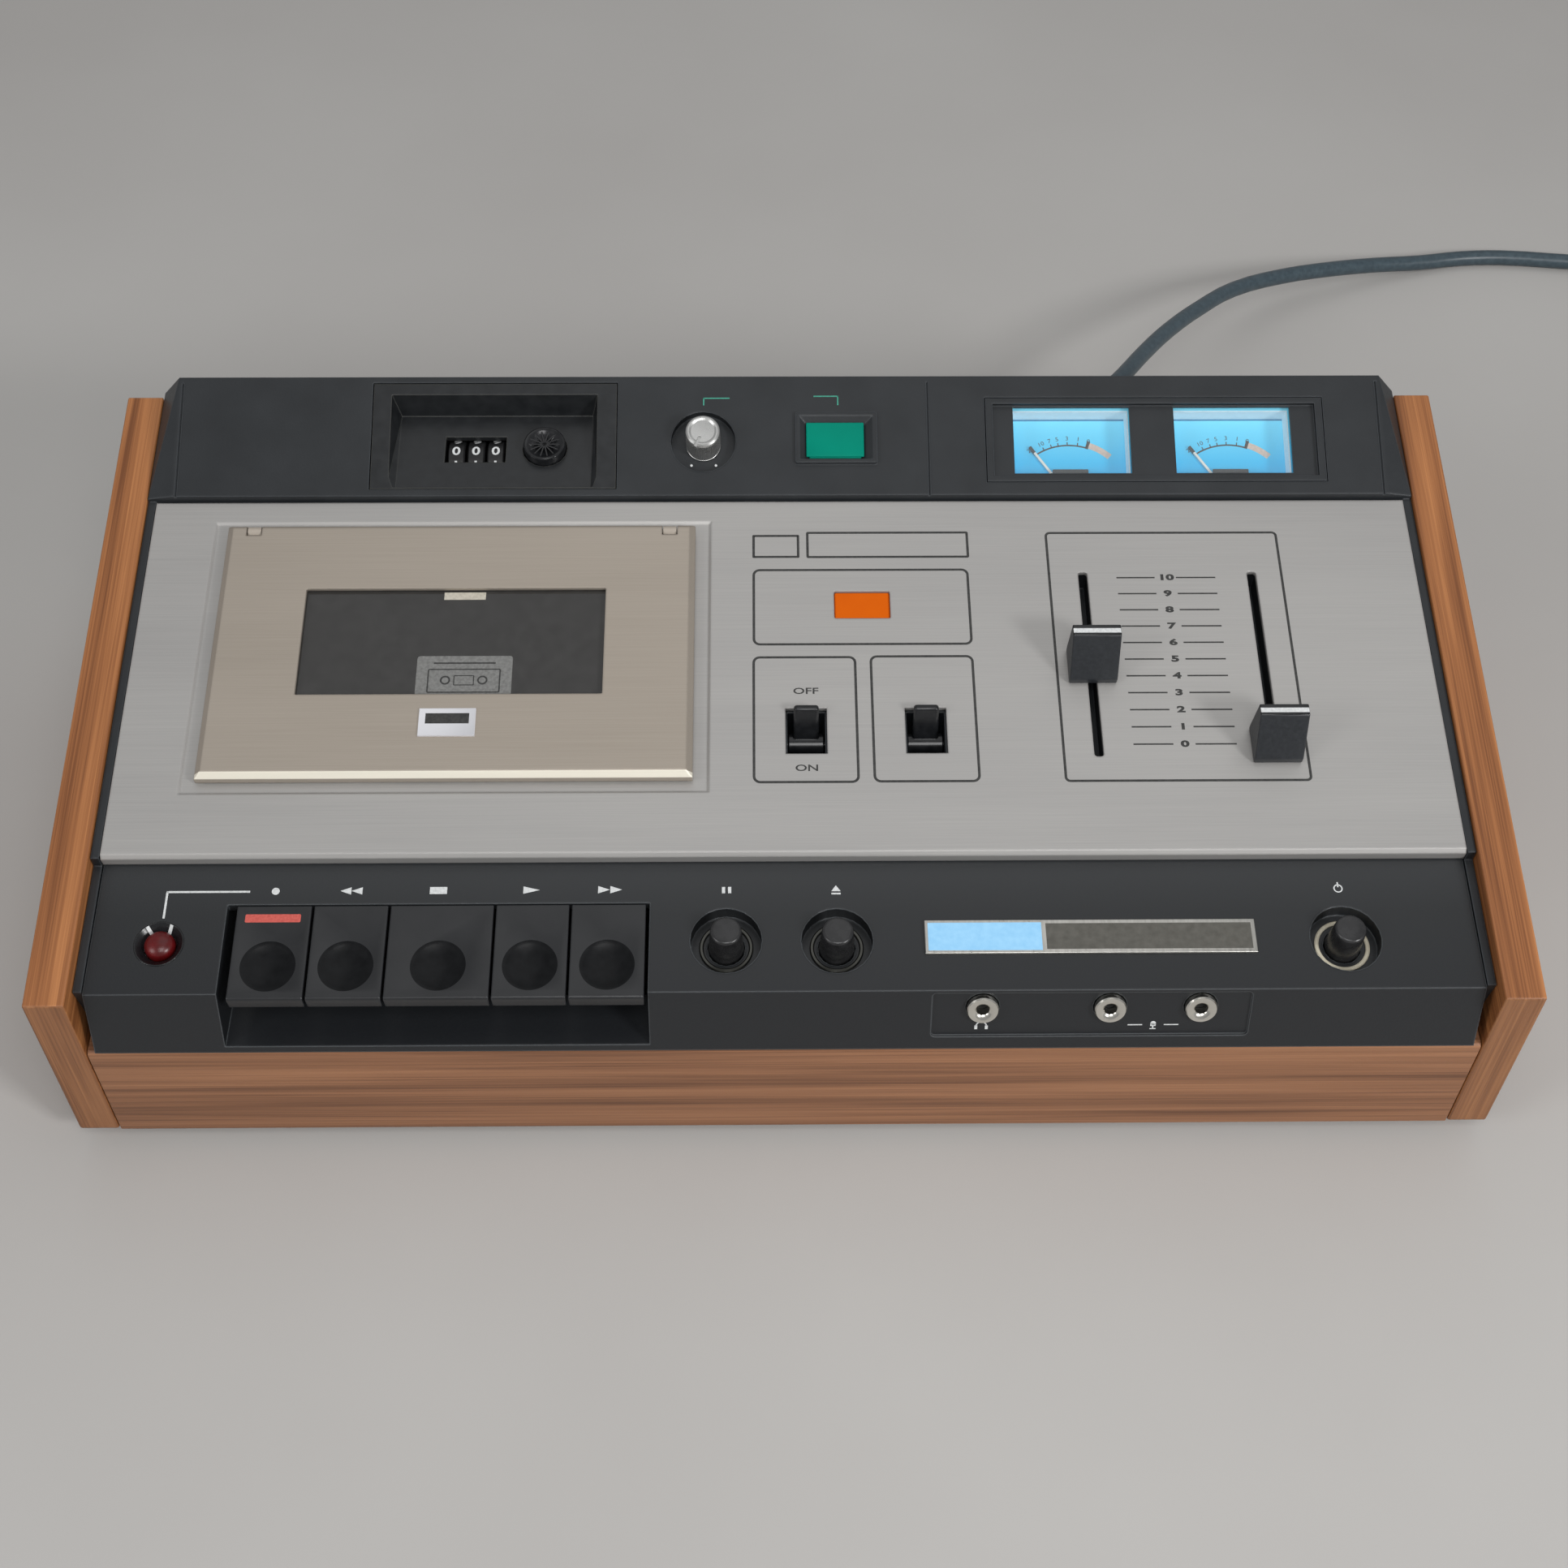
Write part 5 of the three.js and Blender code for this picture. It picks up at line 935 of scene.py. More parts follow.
cream_ink = ink(
    "cream_ink", (196, 190, 176), (170, 164, 150), (200, 194, 180), 0.55, 1200
)
grey_ink = ink(
    "grey_ink", (122, 122, 120), (98, 98, 96), (128, 128, 126), 0.55, 1200, (0.2, 0.65)
)
strip_mark = printed_bar("window_strip", (-100.5, -88.2), (129.8, 132.4), pane_face)
fit(strip_mark, top_plane, cream_ink, "lid")
figure_body = printed_bar(
    "window_cassette", (-106.9, -79.1), (96.3, 110), pane_face, corner=0.9
)
fit(figure_body, top_plane, grey_ink, "lid")
figure_face = pane_face + ink_height
figure = [
    printed_frame("figure_label", (-103.6, -82.4), (97.4, 105.6), figure_face, 0.4, 0.6),
    printed_frame("figure_window", (-96, -90), (99.9, 103.4), figure_face, 0.3, 0.3),
    printed_bar("figure_line", (-102, -84), (107.3, 107.8), figure_face),
]
for reel_x in (-98.4, -87.6):
    figure.append(printed_ring("figure_reel", 1, 1.5, (reel_x, 101.7), figure_face))
fit(join("window_cassette_lines", figure), top_plane, dark_ink, "lid")


# The tape lamp: an orange moulded lens let into the plate and lit from under it by a
# small bulb.
def light_up(finish, colour, strength, shine=0.5):
    """A lens or card with a lamp behind it."""
    shader = shader_of(finish)
    shader.inputs["Emission Color"].default_value = paint(*colour)
    shader.inputs["Emission Strength"].default_value = strength
    shader.inputs["Specular IOR Level"].default_value = shine


orange_lens = clouded(
    "orange_lens", (200, 89, 0), 0.4, 60, (0.3, (196, 85, 0)), (0.7, (204, 93, 0)),
    relief=0.00002, edge=0.0003,
)
light_up(orange_lens, (235, 92, 0), 0.12, shine=0.1)
keep(orange_lens, "tape_lamp_lens")

# The two switch levers: polished black paddles that lean back out of their openings.
# Each is moulded with its hub and turns on the hub's two stubs.
polished_black = clouded(
    "polished_black", (24, 25, 27), 0.2, 500, (0.3, (21, 22, 24)), (0.7, (30, 31, 33)),
    gloss=(0.14, 0.28), relief=0.00001, edge=0.0002,
)
lever_pivot = (85.6, -9)
lever_reach = (5.9, 12)
lever_length = math.hypot(*lever_reach)
lever_half = 7.7 / 2
lean = Matrix.Rotation(-math.atan2(*lever_reach), 4, "X")
sideways = Matrix.Rotation(math.radians(90), 4, "Y")
hub_outline = [(2.9, -5.2), (3.2, -4.9), (3.2, 4.9), (2.9, 5.2)]
stub_outline = [(1.1, -7.4), (1.2, -7.3), (1.2, 7.3), (1.1, 7.4)]
for name, middle in (("mode_lever", 6.3), ("tape_lever", 40.9)):
    paddle = block(
        name + "_paddle", (-lever_half, lever_half), (-1.5, 1.5), (1.5, lever_length)
    )
    pick(paddle, "FACE", is_top)
    bpy.ops.transform.resize(value=(0.94, 0.8, 1))
    soften(close(paddle), 0.9, segments=4)
    hub = turned(name + "_hub", hub_outline, sides=32)
    stub = turned(name + "_stub", stub_outline, sides=24)
    hub.matrix_world = sideways
    stub.matrix_world = sideways
    lever = join(name + "_piece", [paddle, hub, stub])
    lever_plane = top_plane @ Matrix.Translation((middle, *lever_pivot)) @ lean
    fit(lever, lever_plane, polished_black, name, name, slot="dark_plastic")

# The two slide controls: tall wedges of moulded dark grey plastic with a black cap strip
# and a white line, on flat stems that reach through their slots to the tracks below.
slider_grey = clouded(
    "slider_grey", (36, 39, 43), 0.4, 900, (0.3, (32, 35, 39)), (0.7, (41, 44, 48)),
    gloss=(0.34, 0.52), relief=0.00002, edge=0.0003,
)
white_ink = ink("white_ink", (214, 216, 216), (186, 188, 188), (218, 220, 220))
fader_base = -0.7
fader_top = fader_base + 15
fader_foot_top = fader_base + 2.2
fader_half = 7
ridge_set = -0.05
ridge_share = 3.7 / 11.9
for name, x, line in (("left_fader", 90.2, 110), ("right_fader", 141.1, 83)):
    wedge = block(
        name + "_wedge",
        (x - fader_half, x + fader_half),
        (line - 8.9, line + 3),
        (fader_base, fader_foot_top),
    )
    pick(wedge, "FACE", is_top)
    bpy.ops.mesh.extrude_region_move(
        TRANSFORM_OT_translate={"value": (0, 0, fader_top - fader_foot_top)}
    )
    bpy.ops.transform.resize(value=(1, ridge_share, 1), center_override=(x, line, 0))
    shape = bmesh.from_edit_mesh(wedge.data)
    ridge = [v.co.y for v in shape.verts if v.co.z > fader_top - 1]
    ridge_shift = line + ridge_set - (min(ridge) + max(ridge)) / 2
    bpy.ops.transform.translate(value=(0, ridge_shift, 0))
    soften(close(wedge), 0.45, segments=3, sharper_than=25)
    stem = block(
        name + "_stem", (x - 1, x + 1), (line - 2.5, line + 0.7), (-9, fader_base + 0.3)
    )
    knob = join(name + "_knob", [wedge, close(stem)])
    fit(knob, top_plane, slider_grey, name, name, slot="dark_plastic")
    cap_strip = block(
        name + "_cap",
        (x - fader_half - 0.02, x + fader_half + 0.02),
        (line - 1.92, line + 1.82),
        (fader_top - 0.9, fader_top + 0.02),
    )
    fit(soften(cap_strip, 0.35, segments=3), top_plane, polished_black, name)
    mark = block(
        name + "_line",
        (x - fader_half + 0.15, x + fader_half - 0.15),
        (line - 1.0, line + 0.5),
        (fader_top - 0.2, fader_top + 0.05),
    )
    fit(close(mark), top_plane, white_ink, name)

# The fascia and its keys: one black moulding along the front, with painted highlights along
# its edges, and five moulded piano keys that turn on a steel rod. Each key's dish is painted
# darker, as painted shade in the hollow.
fascia_black = clouded(
    "fascia_black", (32, 34, 36), 0.42, 1500,
    gloss=(0.32, 0.5), relief=0.00003, edge=0.0009,
)
# The fascia is painted darker towards its front and paler towards the plate: painted shade
# and light.
dark_front, pale_rear = 5.75, 45.75
from_front = share_along(fascia_black, upright_plane, "Y", dark_front, pale_rear)
fascia_shade_tones = (0.0, (27, 29, 32)), (0.6, (33, 35, 37)), (1.0, (46, 48, 50))
vary_colour(fascia_black, from_front, *fascia_shade_tones)
# The fascia's edges are painted paler: a painted highlight.
worn_edges(fascia_black, 0.0006, (88, 92, 95), 0.9)
keep(fascia_black, "front_fascia")
fascia_plane = plane_matrix(6.3, 61.9, 8)
to_fascia = fascia_plane.inverted()
rod = to_fascia @ (upright_plane @ Vector((0, 62, 56)))
key_finish = clouded(
    "key_plastic", (36, 37, 39), 0.3, 1100,
    gloss=(0.24, 0.38), relief=0.00001, edge=0.0004,
)
key_cloud = noise_on(key_finish, (70, 70, 70))
vary_colour(key_finish, key_cloud, (0.3, (30, 31, 33)), (0.7, (38, 39, 41)))
# The key's edges are painted paler: a painted highlight.
worn_edges(key_finish, 0.0004, (70, 74, 78), 0.6)
# The dish finish is darker than the key: painted shade in the hollow.
dish_painted_shade = clouded(
    "dish_painted_shade", (12, 13, 15), 0.3, 420, (0.3, (9, 10, 12)), (0.7, (17, 18, 20)),
    detail=6.0, gloss=(0.24, 0.4),
)
shader_of(dish_painted_shade).inputs["Specular IOR Level"].default_value = 0.2
key_names = ("record_key", "rewind_key", "stop_key", "play_key", "forward_key")
key_nodes = ("rec_key", *key_names[1:])
key_width_shares = (21.3, 21.1, 29.2, 20.9, 21.2)
key_left = -152.3
key_right = -38.6
key_gap = 0.7
key_front = -1.9
key_rear = 26.7
key_top = 0.4
key_under = -2.8
key_lip = -4.3
lip_end = key_front + 2.2
dish_radius = 7.6
dish_depth = 1.5
dish_s = 8.2
dish_steps = 7
dish_sphere = (dish_radius**2 + dish_depth**2) / (2 * dish_depth)
dish_outline = []
for step in range(dish_steps):
    radius = dish_radius * (1 - step / dish_steps)
    rise = dish_sphere - math.sqrt(dish_sphere**2 - radius**2)
    dish_outline.insert(0, (radius, key_top - dish_depth + rise))
dish_outline.append((dish_radius + 0.35, key_top + 0.1))
dish_outline.append((dish_radius + 0.35, key_top + 2))
arm_half = 3.6


def bored_disc(bore, radius, half, inset, chamfer):
    """The outline of a disc with a bore and broken rims."""
    return [
        (bore, -half),
        (radius - inset, -half),
        (radius, chamfer - half),
        (radius, half - chamfer),
        (radius - inset, half),
        (bore, half),
        (bore, -half),
    ]


key_hub_outline = bored_disc(bore=1.9, radius=4, half=4.4, inset=0.3, chamfer=0.3)


def is_under_lip(face):
    return face.normal.z < -0.5 and face.calc_center_median().y < lip_end


def is_on_nose(edge):
    return all(v.co.z > key_top - 0.1 and v.co.y < key_front + 0.1 for v in edge.verts)


key_edge_x = key_left
for node, body, share in zip(key_nodes, key_names, key_width_shares):
    width = (key_right - key_left) * share / sum(key_width_shares)
    low, high = key_edge_x + key_gap / 2, key_edge_x + width - key_gap / 2
    middle = key_edge_x + width / 2
    key_edge_x += width
    cap = block(body + "_cap", (low, high), (key_front, key_rear), (key_under, key_top))
    bpy.ops.object.mode_set(mode="EDIT")
    bpy.ops.mesh.select_all(action="SELECT")
    bpy.ops.mesh.bisect(plane_co=(0, lip_end, 0), plane_no=(0, 1, 0))
    close(cap)
    pick(cap, "FACE", is_under_lip)
    bpy.ops.mesh.extrude_region_move(
        TRANSFORM_OT_translate={"value": (0, 0, key_lip - key_under)}
    )
    close(cap)
    round_edges(cap, is_on_nose, width=0.9, segments=6)
    soften(cap, 0.3, segments=3, sharper_than=50)
    cut_with(cap, turned("key_dish", dish_outline, (middle, dish_s), sides=64))
    close(cap, smooth=24)
    arm = block(
        body + "_arm",
        (middle - arm_half, middle + arm_half),
        (key_rear * 0.72, rod.y),
        (key_under + 0.2, key_top - 1.6),
    )
    pick(arm, "FACE", lambda face: face.normal.y > 0.5)
    arm_rise = rod.z - (key_under + key_top - 1.4) / 2
    bpy.ops.transform.translate(value=(0, 0, arm_rise))
    bpy.ops.transform.resize(value=(1, 1, 2.4), center_override=(middle, rod.y, rod.z))
    close(arm)
    hub = turned(body + "_hub", key_hub_outline, sides=32)
    hub.matrix_world = Matrix.Translation((middle, rod.y, rod.z)) @ sideways
    key = join(body + "_piece", [cap, arm, hub])
    fit(key, fascia_plane, key_finish, body, node, slot="dark_plastic")
    # The dish's faces take the darker finish: painted shade in the hollow.
    key.data.materials.append(dish_painted_shade)
    for face in key.data.polygons:
        spot = to_fascia @ face.center
        from_middle = math.hypot(spot.x - middle, spot.y - dish_s)
        in_dish = key_top - dish_depth - 0.1 < spot.z < key_top - 0.02
        if from_middle < dish_radius and in_dish:
            face.material_index = 1

# The fascia's prints: white symbols over the keys and buttons, a white line that leads
# to the record lamp, and a red bar on the record key, all screen-printed.
red_ink = ink("red_ink", (198, 88, 78), (178, 70, 62), (206, 94, 84))
record_bar = printed_bar("record_bar", (-149.4, -134.1), (21.6, 24.1), key_top, 0.4)
fit(record_bar, fascia_plane, red_ink, "record_key")
symbol_s = 31.5
symbol_half = 1.15
arrow_point = 0.02


def printed_arrow(tip, base):
    """A filled triangle that points along the row of keys."""
    along = (symbol_s - symbol_half, symbol_s + symbol_half)
    arrow = printed_bar("symbol", (min(tip, base), max(tip, base)), along, 0)
    pick(arrow, "VERT", lambda v: abs(v.co.x - tip) < 0.01)
    centre = (tip, symbol_s, 0)
    bpy.ops.transform.resize(value=(1, arrow_point, 1), center_override=centre)
    return close(arrow)


symbols = [
    printed_arrow(tip, base)
    for tip, base in (
        (-124, -121), (-120.9, -117.9), (-68.7, -73.2), (-49.2, -52.4), (-45.8, -49)
    )
]
symbols.append(printed_disc("symbol", 1.1, (-142, symbol_s)))
symbols.append(printed_ring("symbol", 0.95, 1.3, (154.4, 30.8)))
for across, along in (
    ((-99.2, -94.4), (symbol_s - 1.1, symbol_s + 1.1)),
    ((-17.9, -17), (30.2, 32.2)),
    ((-16.2, -15.3), (30.2, 32.2)),
    ((12.6, 15.2), (29.7, 30.2)),
    ((154.2, 154.6), (31.2, 32.8)),
    ((-172.3, -171.7), (23.2, 31.7)),
    ((-172.3, -149.1), (31.1, 31.7)),
):
    symbols.append(printed_bar("symbol", across, along, 0))
eject_mark = printed_bar("symbol", (12.6, 15.2), (30.7, 32.5), 0)
pick(eject_mark, "VERT", lambda v: v.co.y > 32)
bpy.ops.transform.resize(value=(arrow_point, 1, 1), center_override=(13.9, 32.5, 0))
symbols.append(close(eject_mark))
fit(join("fascia_symbols", symbols), fascia_plane, white_ink, "deck")

# The push buttons: glossy black moulded caps with soft edges, held by their flanges,
# each in a round well whose floor has a washer of metal or cream plastic.
button_radius = 4.9
button_top = 6.3
button_cap_radius = 4.35
button_edge = 0.9
well_floor = -5
button_outline = [
    (4.1, -14), (4.1, -8.6), (7, -8.6), (7, -7.1), (button_radius, -7.1),
    (button_radius, -3.6),
]
button_outline += quarter_round(
    button_cap_radius - button_edge, button_top - button_edge, button_edge, button_edge, 5
)
button_outline += [(2.4, button_top + 0.15), (1.2, button_top + 0.25)]
button_black = clouded(
    "button_black", (38, 38, 39), 0.26, 400, (0.3, (34, 34, 35)), (0.7, (44, 44, 45)),
    gloss=(0.2, 0.34),
)
dark_nickel = clouded(
    "dark_nickel", (86, 86, 82), 0.3, 700, metallic=1.0, gloss=(0.22, 0.4)
)
for name, place, washer_finish, washer_radius in (
    ("pause_button", (-16.7, 15.5), dark_nickel, 6.9),
    ("eject_button", (13.9, 15.3), dark_nickel, 6.9),
    ("power_button", (154.4, 15.2), cream_plastic, 7.1),
):
    cap = turned(name + "_cap", button_outline, place, sides=64)
    fit(cap, fascia_plane, button_black, name, name, slot="dark_plastic")
    washer_outline = [
        (washer_radius + reach, well_floor + height)
        for reach, height in (
            (-0.6, 0.02), (0.6, 0.02), (0.6, 0.4), (0.3, 0.6), (-0.3, 0.6), (-0.6, 0.4),
            (-0.6, 0.02),
        )
    ]
    washer = turned(name + "_washer", washer_outline, place, sides=64)
    fit(washer, fascia_plane, washer_finish, "deck")


# The record lamp: a red moulded dome that stands in a small bowl, in a polished collar
# with two white marks on its slope that are painted glints.
def spot_in_plane(place, degrees):
    """A place in a plane, turned about its upright axis."""
    return Matrix.Translation((*place, 0)) @ Matrix.Rotation(math.radians(degrees), 4, "Z")


red_lens = clouded(
    "red_lens", (84, 8, 10), 0.3, 260, (0.3, (68, 5, 7)), (0.7, (100, 11, 14)),
    gloss=(0.24, 0.4),
)
record_place = (-172.3, 15.4)
dome_radius = 4.2
dome_outline = [
    (dome_radius, -9), (dome_radius, -5.7), (5.6, -5.7), (5.6, -4.3), (dome_radius, -4.3)
]
dome_outline += quarter_round(0, -1.1, dome_radius, rise=2.6, steps=8)[:-1]
record_dome = turned("record_lamp_dome", dome_outline, record_place, sides=64)
fit(record_dome, fascia_plane, red_lens, "deck", "record_lamp", slot="red_lens")
bowl_radius = 4.5
bowl_low = -1.9
collar_radius = 6.5
collar_top = 0.14
collar_outline = [
    (bowl_radius, -2.15), (collar_radius, -2.15), (collar_radius, -0.1), (6.9, 0.02),
    (6.8, collar_top), (collar_radius, collar_top), (bowl_radius, bowl_low),
    (bowl_radius, -2.15),
]
collar = turned("record_lamp_collar", collar_outline, record_place, sides=64)
fit(collar, fascia_plane, polished_black, "deck")
bowl_lean = math.atan2(collar_top - bowl_low, collar_radius - bowl_radius)
bowl_slope = Matrix.Rotation(bowl_lean, 4, "X")
bowl_foot = Matrix.Translation((0, bowl_radius + 0.05, bowl_low))
# Two white marks on the collar's slope: painted glints.
painted_glints = []
for degrees in (36, -27):
    painted_glint = block("painted_glint", (-0.5, 0.5), (0, 2.8), (0.06, 0.16))
    painted_glint.matrix_world = spot_in_plane(record_place, degrees) @ bowl_foot @ bowl_slope
    painted_glints.append(close(painted_glint))
fit(join("record_lamp_painted_glints", painted_glints), fascia_plane, white_ink, "deck")

# The front of the fascia: three nickel sockets with round nuts, headphone and
# microphone symbols under them, and a bare silver name plate with two enamelled fields.
front_plane = plane_matrix(0.8, 44.5, 72.46)
socket_throat = clouded("socket_throat", (14, 14, 15), 0.6, 900, gloss=(0.5, 0.7))
phone_x = 53.5
jack_height = 11.9
bush_outline = [
    (1.75, -16), (4.3, -16), (4.4, -15.9), (4.4, 0.9), (4.1, 1.3), (2.9, 1.3),
    (2.2, 1.0), (1.8, 0.6), (1.75, -16),
]
for node, x in (
    ("phone_jack", phone_x), ("left_mic_jack", 88.5), ("right_mic_jack", 113.4)
):
    place = (x, jack_height)
    bush = turned(node + "_bush", bush_outline, place, sides=64)
    fit(bush, front_plane, bright_nickel, "deck", node, slot="nickel")
    throat = turned(node + "_throat", [(1.7, -12), (1.7, -2)], place, sides=32)
    fit(throat, front_plane, socket_throat, "deck")
glyph_s = 5
glyph_face = -0.8
mic_x = 100.95
glyphs = []
for degrees in range(-80, 81, 20):
    bar = printed_bar("glyph", (-0.28, 0.28), (1.25, 1.6), glyph_face)
    bar.matrix_world = spot_in_plane((phone_x, glyph_s), degrees)
    glyphs.append(bar)
glyph_bars = [
    ((mic_x - 0.75, mic_x + 0.75), (-0.3, 0.7)),
    ((mic_x - 0.2, mic_x + 0.2), (-1.2, -0.3)),
    ((mic_x - 0.85, mic_x + 0.85), (-1.4, -1.1)),
]
for side in (-1, 1):
    pad_x = phone_x + side * 1.45
    dash_x = mic_x + side * 5
    glyph_bars.append(((pad_x - 0.4, pad_x + 0.4), (-1.1, 0.2)))
    glyph_bars.append(((dash_x - 2, dash_x + 2), (0, 0.35)))
for across, (low, high) in glyph_bars:
    glyphs.append(printed_bar("glyph", across, (glyph_s + low, glyph_s + high), glyph_face))
glyphs.append(printed_disc("glyph", 0.75, (mic_x, glyph_s + 0.7), glyph_face, sides=24))
fit(join("socket_glyphs", glyphs), front_plane, white_ink, "deck")

name_plate_across = (38, 129.5)
name_plate_along = (10.8, 21.1)
name_plate_split = 70.7
name_plate_face = 0.9
satin_silver = new_finish("satin_silver", (196, 194, 188), 0.3, metallic=0.9)
silver_haze = noise_on(satin_silver, (1200, 60, 1200))
vary_colour(satin_silver, silver_haze, (0.3, (184, 182, 176)), (0.7, (206, 204, 198)))
vary_roughness(satin_silver, silver_haze, 0.22, 0.4)
name_plate = block(
    "name_plate", name_plate_across, name_plate_along, (-0.05, name_plate_face)
)
soften(name_plate, 0.25, segments=3)
fit(name_plate, fascia_plane, satin_silver, "deck")
sky_blue = clouded(
    "sky_blue_enamel", (150, 208, 246), 0.35, 500,
    (0.3, (144, 203, 243)), (0.7, (158, 213, 249)),
)
dark_enamel = clouded(
    "dark_enamel", (84, 82, 76), 0.4, 500, (0.3, (78, 76, 70)), (0.7, (92, 90, 84))
)
blue_across = (name_plate_across[0] + 0.9, name_plate_split - 0.4)
dark_across = (name_plate_split + 0.8, name_plate_across[1] - 1.2)
for name, across, along, enamel in (
    ("name_plate_blue", blue_across, (11.7, 20.2), sky_blue),
    ("name_plate_dark", dark_across, (12, 19.9), dark_enamel),
):
    field = printed_bar(name, across, along, name_plate_face)
    fit(field, fascia_plane, enamel, "deck")

# The hood: one black moulding over the back, with the tape counter let in at the left,
# a knob, a green lamp and the twin level meters. The counter's insert is glossier.
keep(moulded_black, "rear_hood", "meter_bezel")
insert_black = clouded(
    "insert_black", (28, 30, 32), 0.35, 300, (0.3, (25, 27, 29)), (0.7, (34, 36, 38)),
    gloss=(0.28, 0.44), relief=0.00002, edge=0.0006,
)
# The insert's edges are painted paler: a painted highlight.
worn_edges(insert_black, 0.0005, (86, 86, 82), 0.7)
keep(insert_black, "counter_panel")
hood_plane = plane_matrix(167, 94.5, 23.3)
counter_tilt = Matrix.Rotation(math.atan2(-6.8, 26.9), 4, "X")
counter_plane = hood_plane @ Matrix.Translation((0, 2, -0.9)) @ counter_tilt

# The tape counter: three black number wheels on one axle, with white numerals cast
# round their rims, and a ribbed black button that sets them to zero.
wheel_radius = 8
counter_x = -94.6
counter_pitch = 6.1
counter_axle = (14.6, -8.8)
degrees_per_digit = 36
wheel_black = clouded(
    "wheel_black", (22, 22, 23), 0.45, 600, (0.3, (19, 19, 20)), (0.7, (28, 28, 29)),
    gloss=(0.36, 0.56),
)
wheel_outline = bored_disc(1.3, wheel_radius, half=2.6, inset=0.5, chamfer=0.4)
for number, name in enumerate(("ones", "tens", "hundreds")):
    body = name + "_wheel"
    axle = Matrix.Translation((counter_x + (1 - number) * counter_pitch, *counter_axle))
    wheel = turned(body + "_rim", wheel_outline, sides=80)
    wheel.matrix_world = axle @ sideways
    node = "counter_wheel_" + name
    fit(wheel, counter_plane, wheel_black, body, node, slot="dark_plastic")
    digits = []
    for digit in range(10):
        text = printed_words(
            "wheel_numeral", str(digit), (0, 0), 3.1, 1.2, wheel_radius - 0.02, bold=0.1
        )
        around = Matrix.Rotation(math.radians(degrees_per_digit * digit), 4, "X")
        text.matrix_world = axle @ around
        digits.append(text)
    fit(join(body + "_numerals", digits), counter_plane, white_ink, body)
reset_place = (-73.2, 14.9)
reset_radius = 6.5
reset_outline = [
    (2.5, -12), (2.5, -3.4), (7.6, -3.4), (7.6, -2.3), (reset_radius, -2.3),
    (reset_radius, 2.2), (reset_radius - 0.2, 2.7), (reset_radius - 0.6, 2.9),
    (reset_radius - 1.1, 2.8), (reset_radius - 1.6, 2.4), (3.2, 1.6), (1.4, 1.2),
]
reset_parts = [turned("reset_button_cap", reset_outline, reset_place, sides=64)]
for step in range(-3, 4):
    rib = block("reset_rib", (-5.2, 5.2), (-0.22, 0.22), (1.1, 2.3))
    rib.matrix_world = spot_in_plane(reset_place, 180 * step / 7)
    reset_parts.append(close(rib))
reset = join("reset_button_piece", reset_parts)
node = "counter_reset_button"
fit(reset, counter_plane, polished_black, "reset_button", node, slot="black_plastic")

# The knob: spun aluminium over a black shaft, with a fine knurl and a pointer notch
# that is milled into its top.
spun_aluminium = clouded(
    "spun_aluminium", (204, 204, 202), 0.28, 900,
    metallic=0.85, gloss=(0.2, 0.38), relief=0.00001,
)
knob_place = (-24.1, 16.6)
knob_degrees = -25.5
knurl_depth = 0.12
knob_outline = [
    (3, -15), (3, -2.7), (5, -2.7), (5.3, -2.4), (5.3, 7.2), (5.1, 7.8), (4.6, 8.2),
    (4.2, 8.2), (3.6, 7.9), (1.2, 7.75),
]
knob = turned("noise_knob_cap", knob_outline, sides=72)
pick(knob, "FACE", lambda face: abs(face.normal.z) < 0.1 and face.calc_area() > 2)
bpy.ops.mesh.inset(thickness=0.06, use_individual=True)
bpy.ops.transform.shrink_fatten(value=-knurl_depth)
close(knob, smooth=20)
cut_with(knob, block("knob_cut", (-0.5, 0.5), (-7, -1.8), (7.3, 10)))
close(knob, smooth=20)
knob.matrix_world = spot_in_plane(knob_place, knob_degrees)
fit(knob, hood_plane, spun_aluminium, "noise_knob", "noise_knob", slot="nickel")

# Printed on the hood: two dots at the ends of the knob's turn, and green lines that
# lead to the green lamp, a round-cornered lens on a stem that the hood holds.
dots = [
    printed_disc("hood_dot", 0.4, place, sides=24) for place in ((-27.7, 8.7), (-20.2, 8.7))
]
fit(join("knob_dots", dots), hood_plane, white_ink, "deck")
green_ink = ink("green_ink", (60, 150, 128), (50, 132, 112), (66, 158, 136))
leads = [
    printed_bar("lead", across, along, 0)
    for across, along in (
        ((-24.2, -23.8), (28.8, 31.4)),
        ((-24.2, -16), (31, 31.4)),
        ((17.3, 17.7), (28.8, 32)),
        ((10, 17.7), (31.6, 32)),
    )
]
fit(join("green_leads", leads), hood_plane, green_ink, "deck")
green_lens = clouded(
    "green_lens", (0, 124, 104), 0.34, 60, (0.3, (0, 119, 100)), (0.7, (1, 130, 109)),
    relief=0.00002, edge=0.0004,
)
light_up(green_lens, (2, 146, 120), 0.08, shine=0.08)
green_stem = close(block("green_lens_stem", (8.6, 24.5), (11.1, 21.6), (-6, 0)))
green_face = block("green_lens_face", (7.6, 25.4), (11.4, 22.8), (-0.1, 0.45))
soften(green_face, 0.3, segments=3)
green_piece = join("green_lens_piece", [green_stem, green_face])
fit(green_piece, hood_plane, green_lens, "deck", "green_lamp_lens", slot="green_lens")

# The level meters: a clear window over two back-lit blue dials, each with a printed
# arc, its numerals, a coloured end and a needle that swings on a pivot in front.
clear_window = clouded("clear_window", (235, 240, 242), 0.05, 200, gloss=(0.03, 0.08))
shader_of(clear_window).inputs["Alpha"].default_value = 0.06
keep(clear_window, "meter_glass")
meter_blue = new_finish("meter_blue", (86, 196, 236), 0.5)
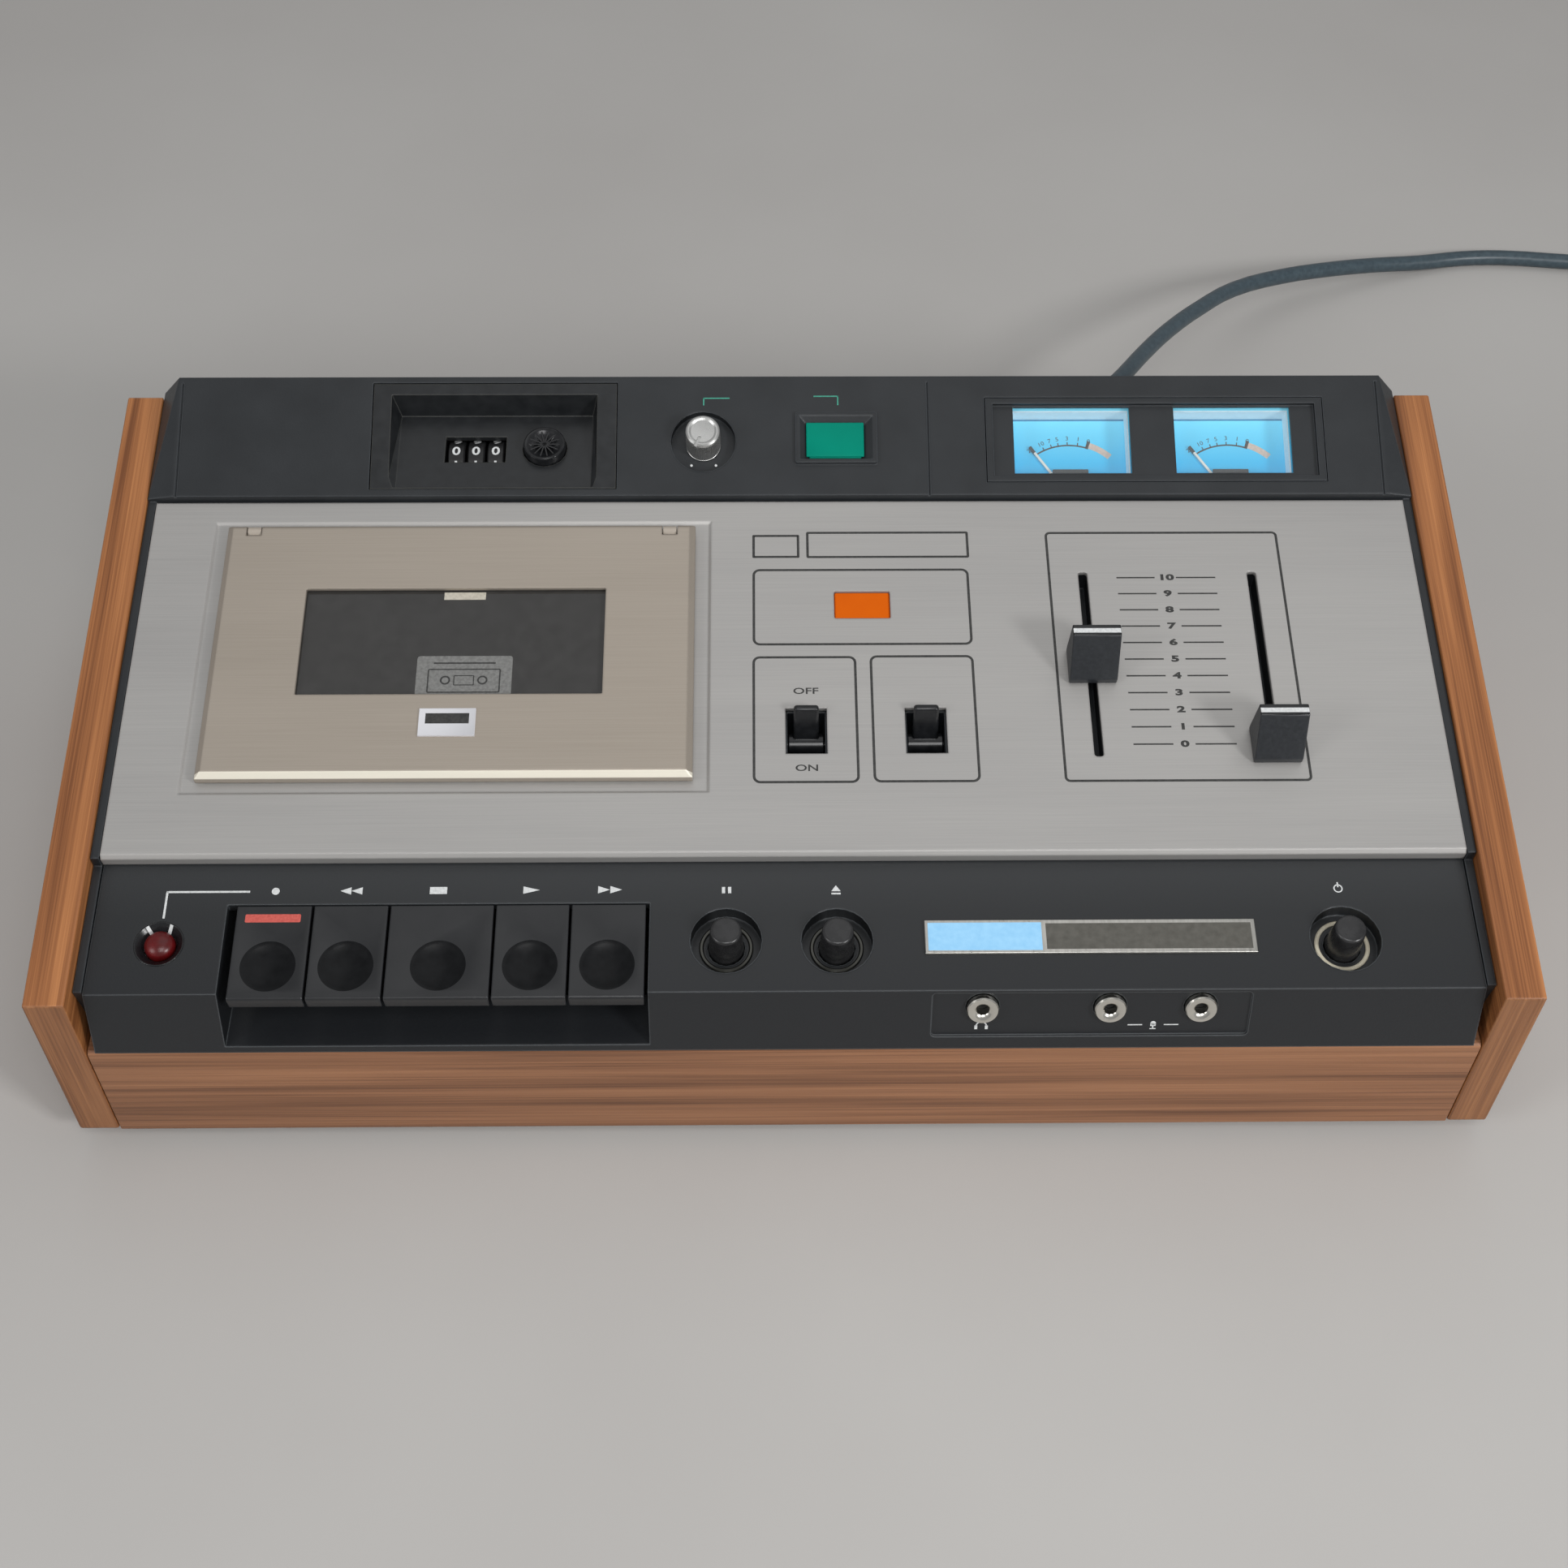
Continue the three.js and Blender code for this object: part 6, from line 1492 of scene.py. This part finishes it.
# The dials are painted deeper blue towards their front edge and paler towards the back:
# painted shade at the front edge.
deep_front, pale_back = 169.75, 197.75
up_dial = share_along(meter_blue, upright_plane, "Y", deep_front, pale_back)
dial_tones = (0.0, (0, 130, 184)), (0.5, (20, 170, 216)), (1.0, (108, 208, 234))
dial_colour = vary_colour(meter_blue, up_dial, *dial_tones)
wire(meter_blue, dial_colour, shader_of(meter_blue).inputs["Emission Color"])
shader_of(meter_blue).inputs["Emission Strength"].default_value = 0.26
keep(meter_blue, "meter_case")
needle_cream = clouded("needle_cream", (226, 224, 214), 0.45, 900, gloss=(0.36, 0.55))
pale_card = clouded(
    "pale_card", (214, 230, 236), 0.6, 700, (0.3, (206, 225, 232)), (0.7, (220, 235, 240))
)
light_up(pale_card, (214, 236, 244), 0.12)
zone_ink = ink("zone_ink", (212, 192, 178), (196, 174, 158), (218, 198, 184))
# A dark blue ink for the painted shadow under each dial's top wall.
painted_shadow_blue = ink("painted_shadow_blue", (30, 118, 160), (24, 106, 148), (36, 126, 168))
dial_face = -9.8
dial_half = 18.1
dial_along = (6.5, 28.7)
liner_wall = 0.35
liner_up = (-9.75, -4.35)
arc_radius = 18
arc_half = 0.25
chord = arc_radius * math.tan(math.radians(1)) + 0.03
pivot_s = 1.5
needle_reach = 21
needle_rest_degrees = 35.5


def round_dial(name, across, along, degrees):
    """A printed bar, drawn ahead of the pivot and turned to its place round the dial."""
    bar = printed_bar(name, across, along, dial_face)
    bar.matrix_world = spot_in_plane(pivot, -degrees)
    return bar


for side, centre in (("left", 89.95), ("right", 139.9)):
    pivot = (centre, pivot_s)
    marks = []
    for value, degrees in (
        ("20", -36), ("10", -25), ("7", -17), ("5", -10), ("3", -1), ("1", 9), ("0", 18)
    ):
        tick_along = (arc_radius, arc_radius + 1.1)
        marks.append(round_dial("tick", (-0.16, 0.16), tick_along, degrees))
        label = printed_words("value", value, (0, arc_radius + 2.3), 1.4, 1.1, dial_face)
        label.matrix_world = spot_in_plane(pivot, -degrees)
        marks.append(label)
    zero_along = (arc_radius - 0.3, arc_radius + 2.4)
    marks.append(round_dial("tick", (-0.5, 0.5), zero_along, 18.5))
    for degrees in range(-35, 19, 2):
        arc_along = (arc_radius - arc_half, arc_radius + arc_half)
        marks.append(round_dial("arc", (-chord, chord), arc_along, degrees))
    fit(join(side + "_dial_marks", marks), hood_plane, dark_ink, "deck")
    zone_across = (-chord - 0.05, chord + 0.05)
    zone_along = (arc_radius, arc_radius + 2)
    zone = [
        round_dial("zone", zone_across, zone_along, degrees)
        for degrees in range(21, 42, 2)
    ]
    fit(join(side + "_dial_zone", zone), hood_plane, zone_ink, "deck")
    low, high = centre - dial_half, centre + dial_half
    top = dial_along[1]
    liner = [
        close(block("liner", across, along, liner_up))
        for across, along in (
            ((low + 0.02, low + liner_wall), dial_along),
            ((high - liner_wall, high - 0.02), dial_along),
            ((low + liner_wall, high - liner_wall), (top - liner_wall, top - 0.02)),
        )
    ]
    fit(join(side + "_dial_liner", liner), hood_plane, pale_card, "deck")
    # A dark blue bar at the foot of the liner's top wall: a painted shadow.
    shade = printed_bar(
        side + "_dial_painted_shadow", (low + 0.4, high - 0.4), (27.75, 28.3), dial_face + 0.01
    )
    fit(shade, hood_plane, painted_shadow_blue, "deck")
    cover = block(
        side + "_pivot_cover", (centre - 5.6, centre + 5.6), (6.3, 10.4), (-8.15, -7.2)
    )
    fit(soften(cover, 0.3, segments=3), hood_plane, insert_black, "deck")
    needle_name = side + "_needle"
    keep(needle_cream, needle_name)
    tip = block(
        needle_name + "_tip",
        (-0.42, 0.42),
        (needle_reach - 2.4, needle_reach + 0.05),
        (-9.45, -8.65),
    )
    tip.matrix_world = spot_in_plane(pivot, needle_rest_degrees)
    fit(close(tip), hood_plane, insert_black, needle_name)
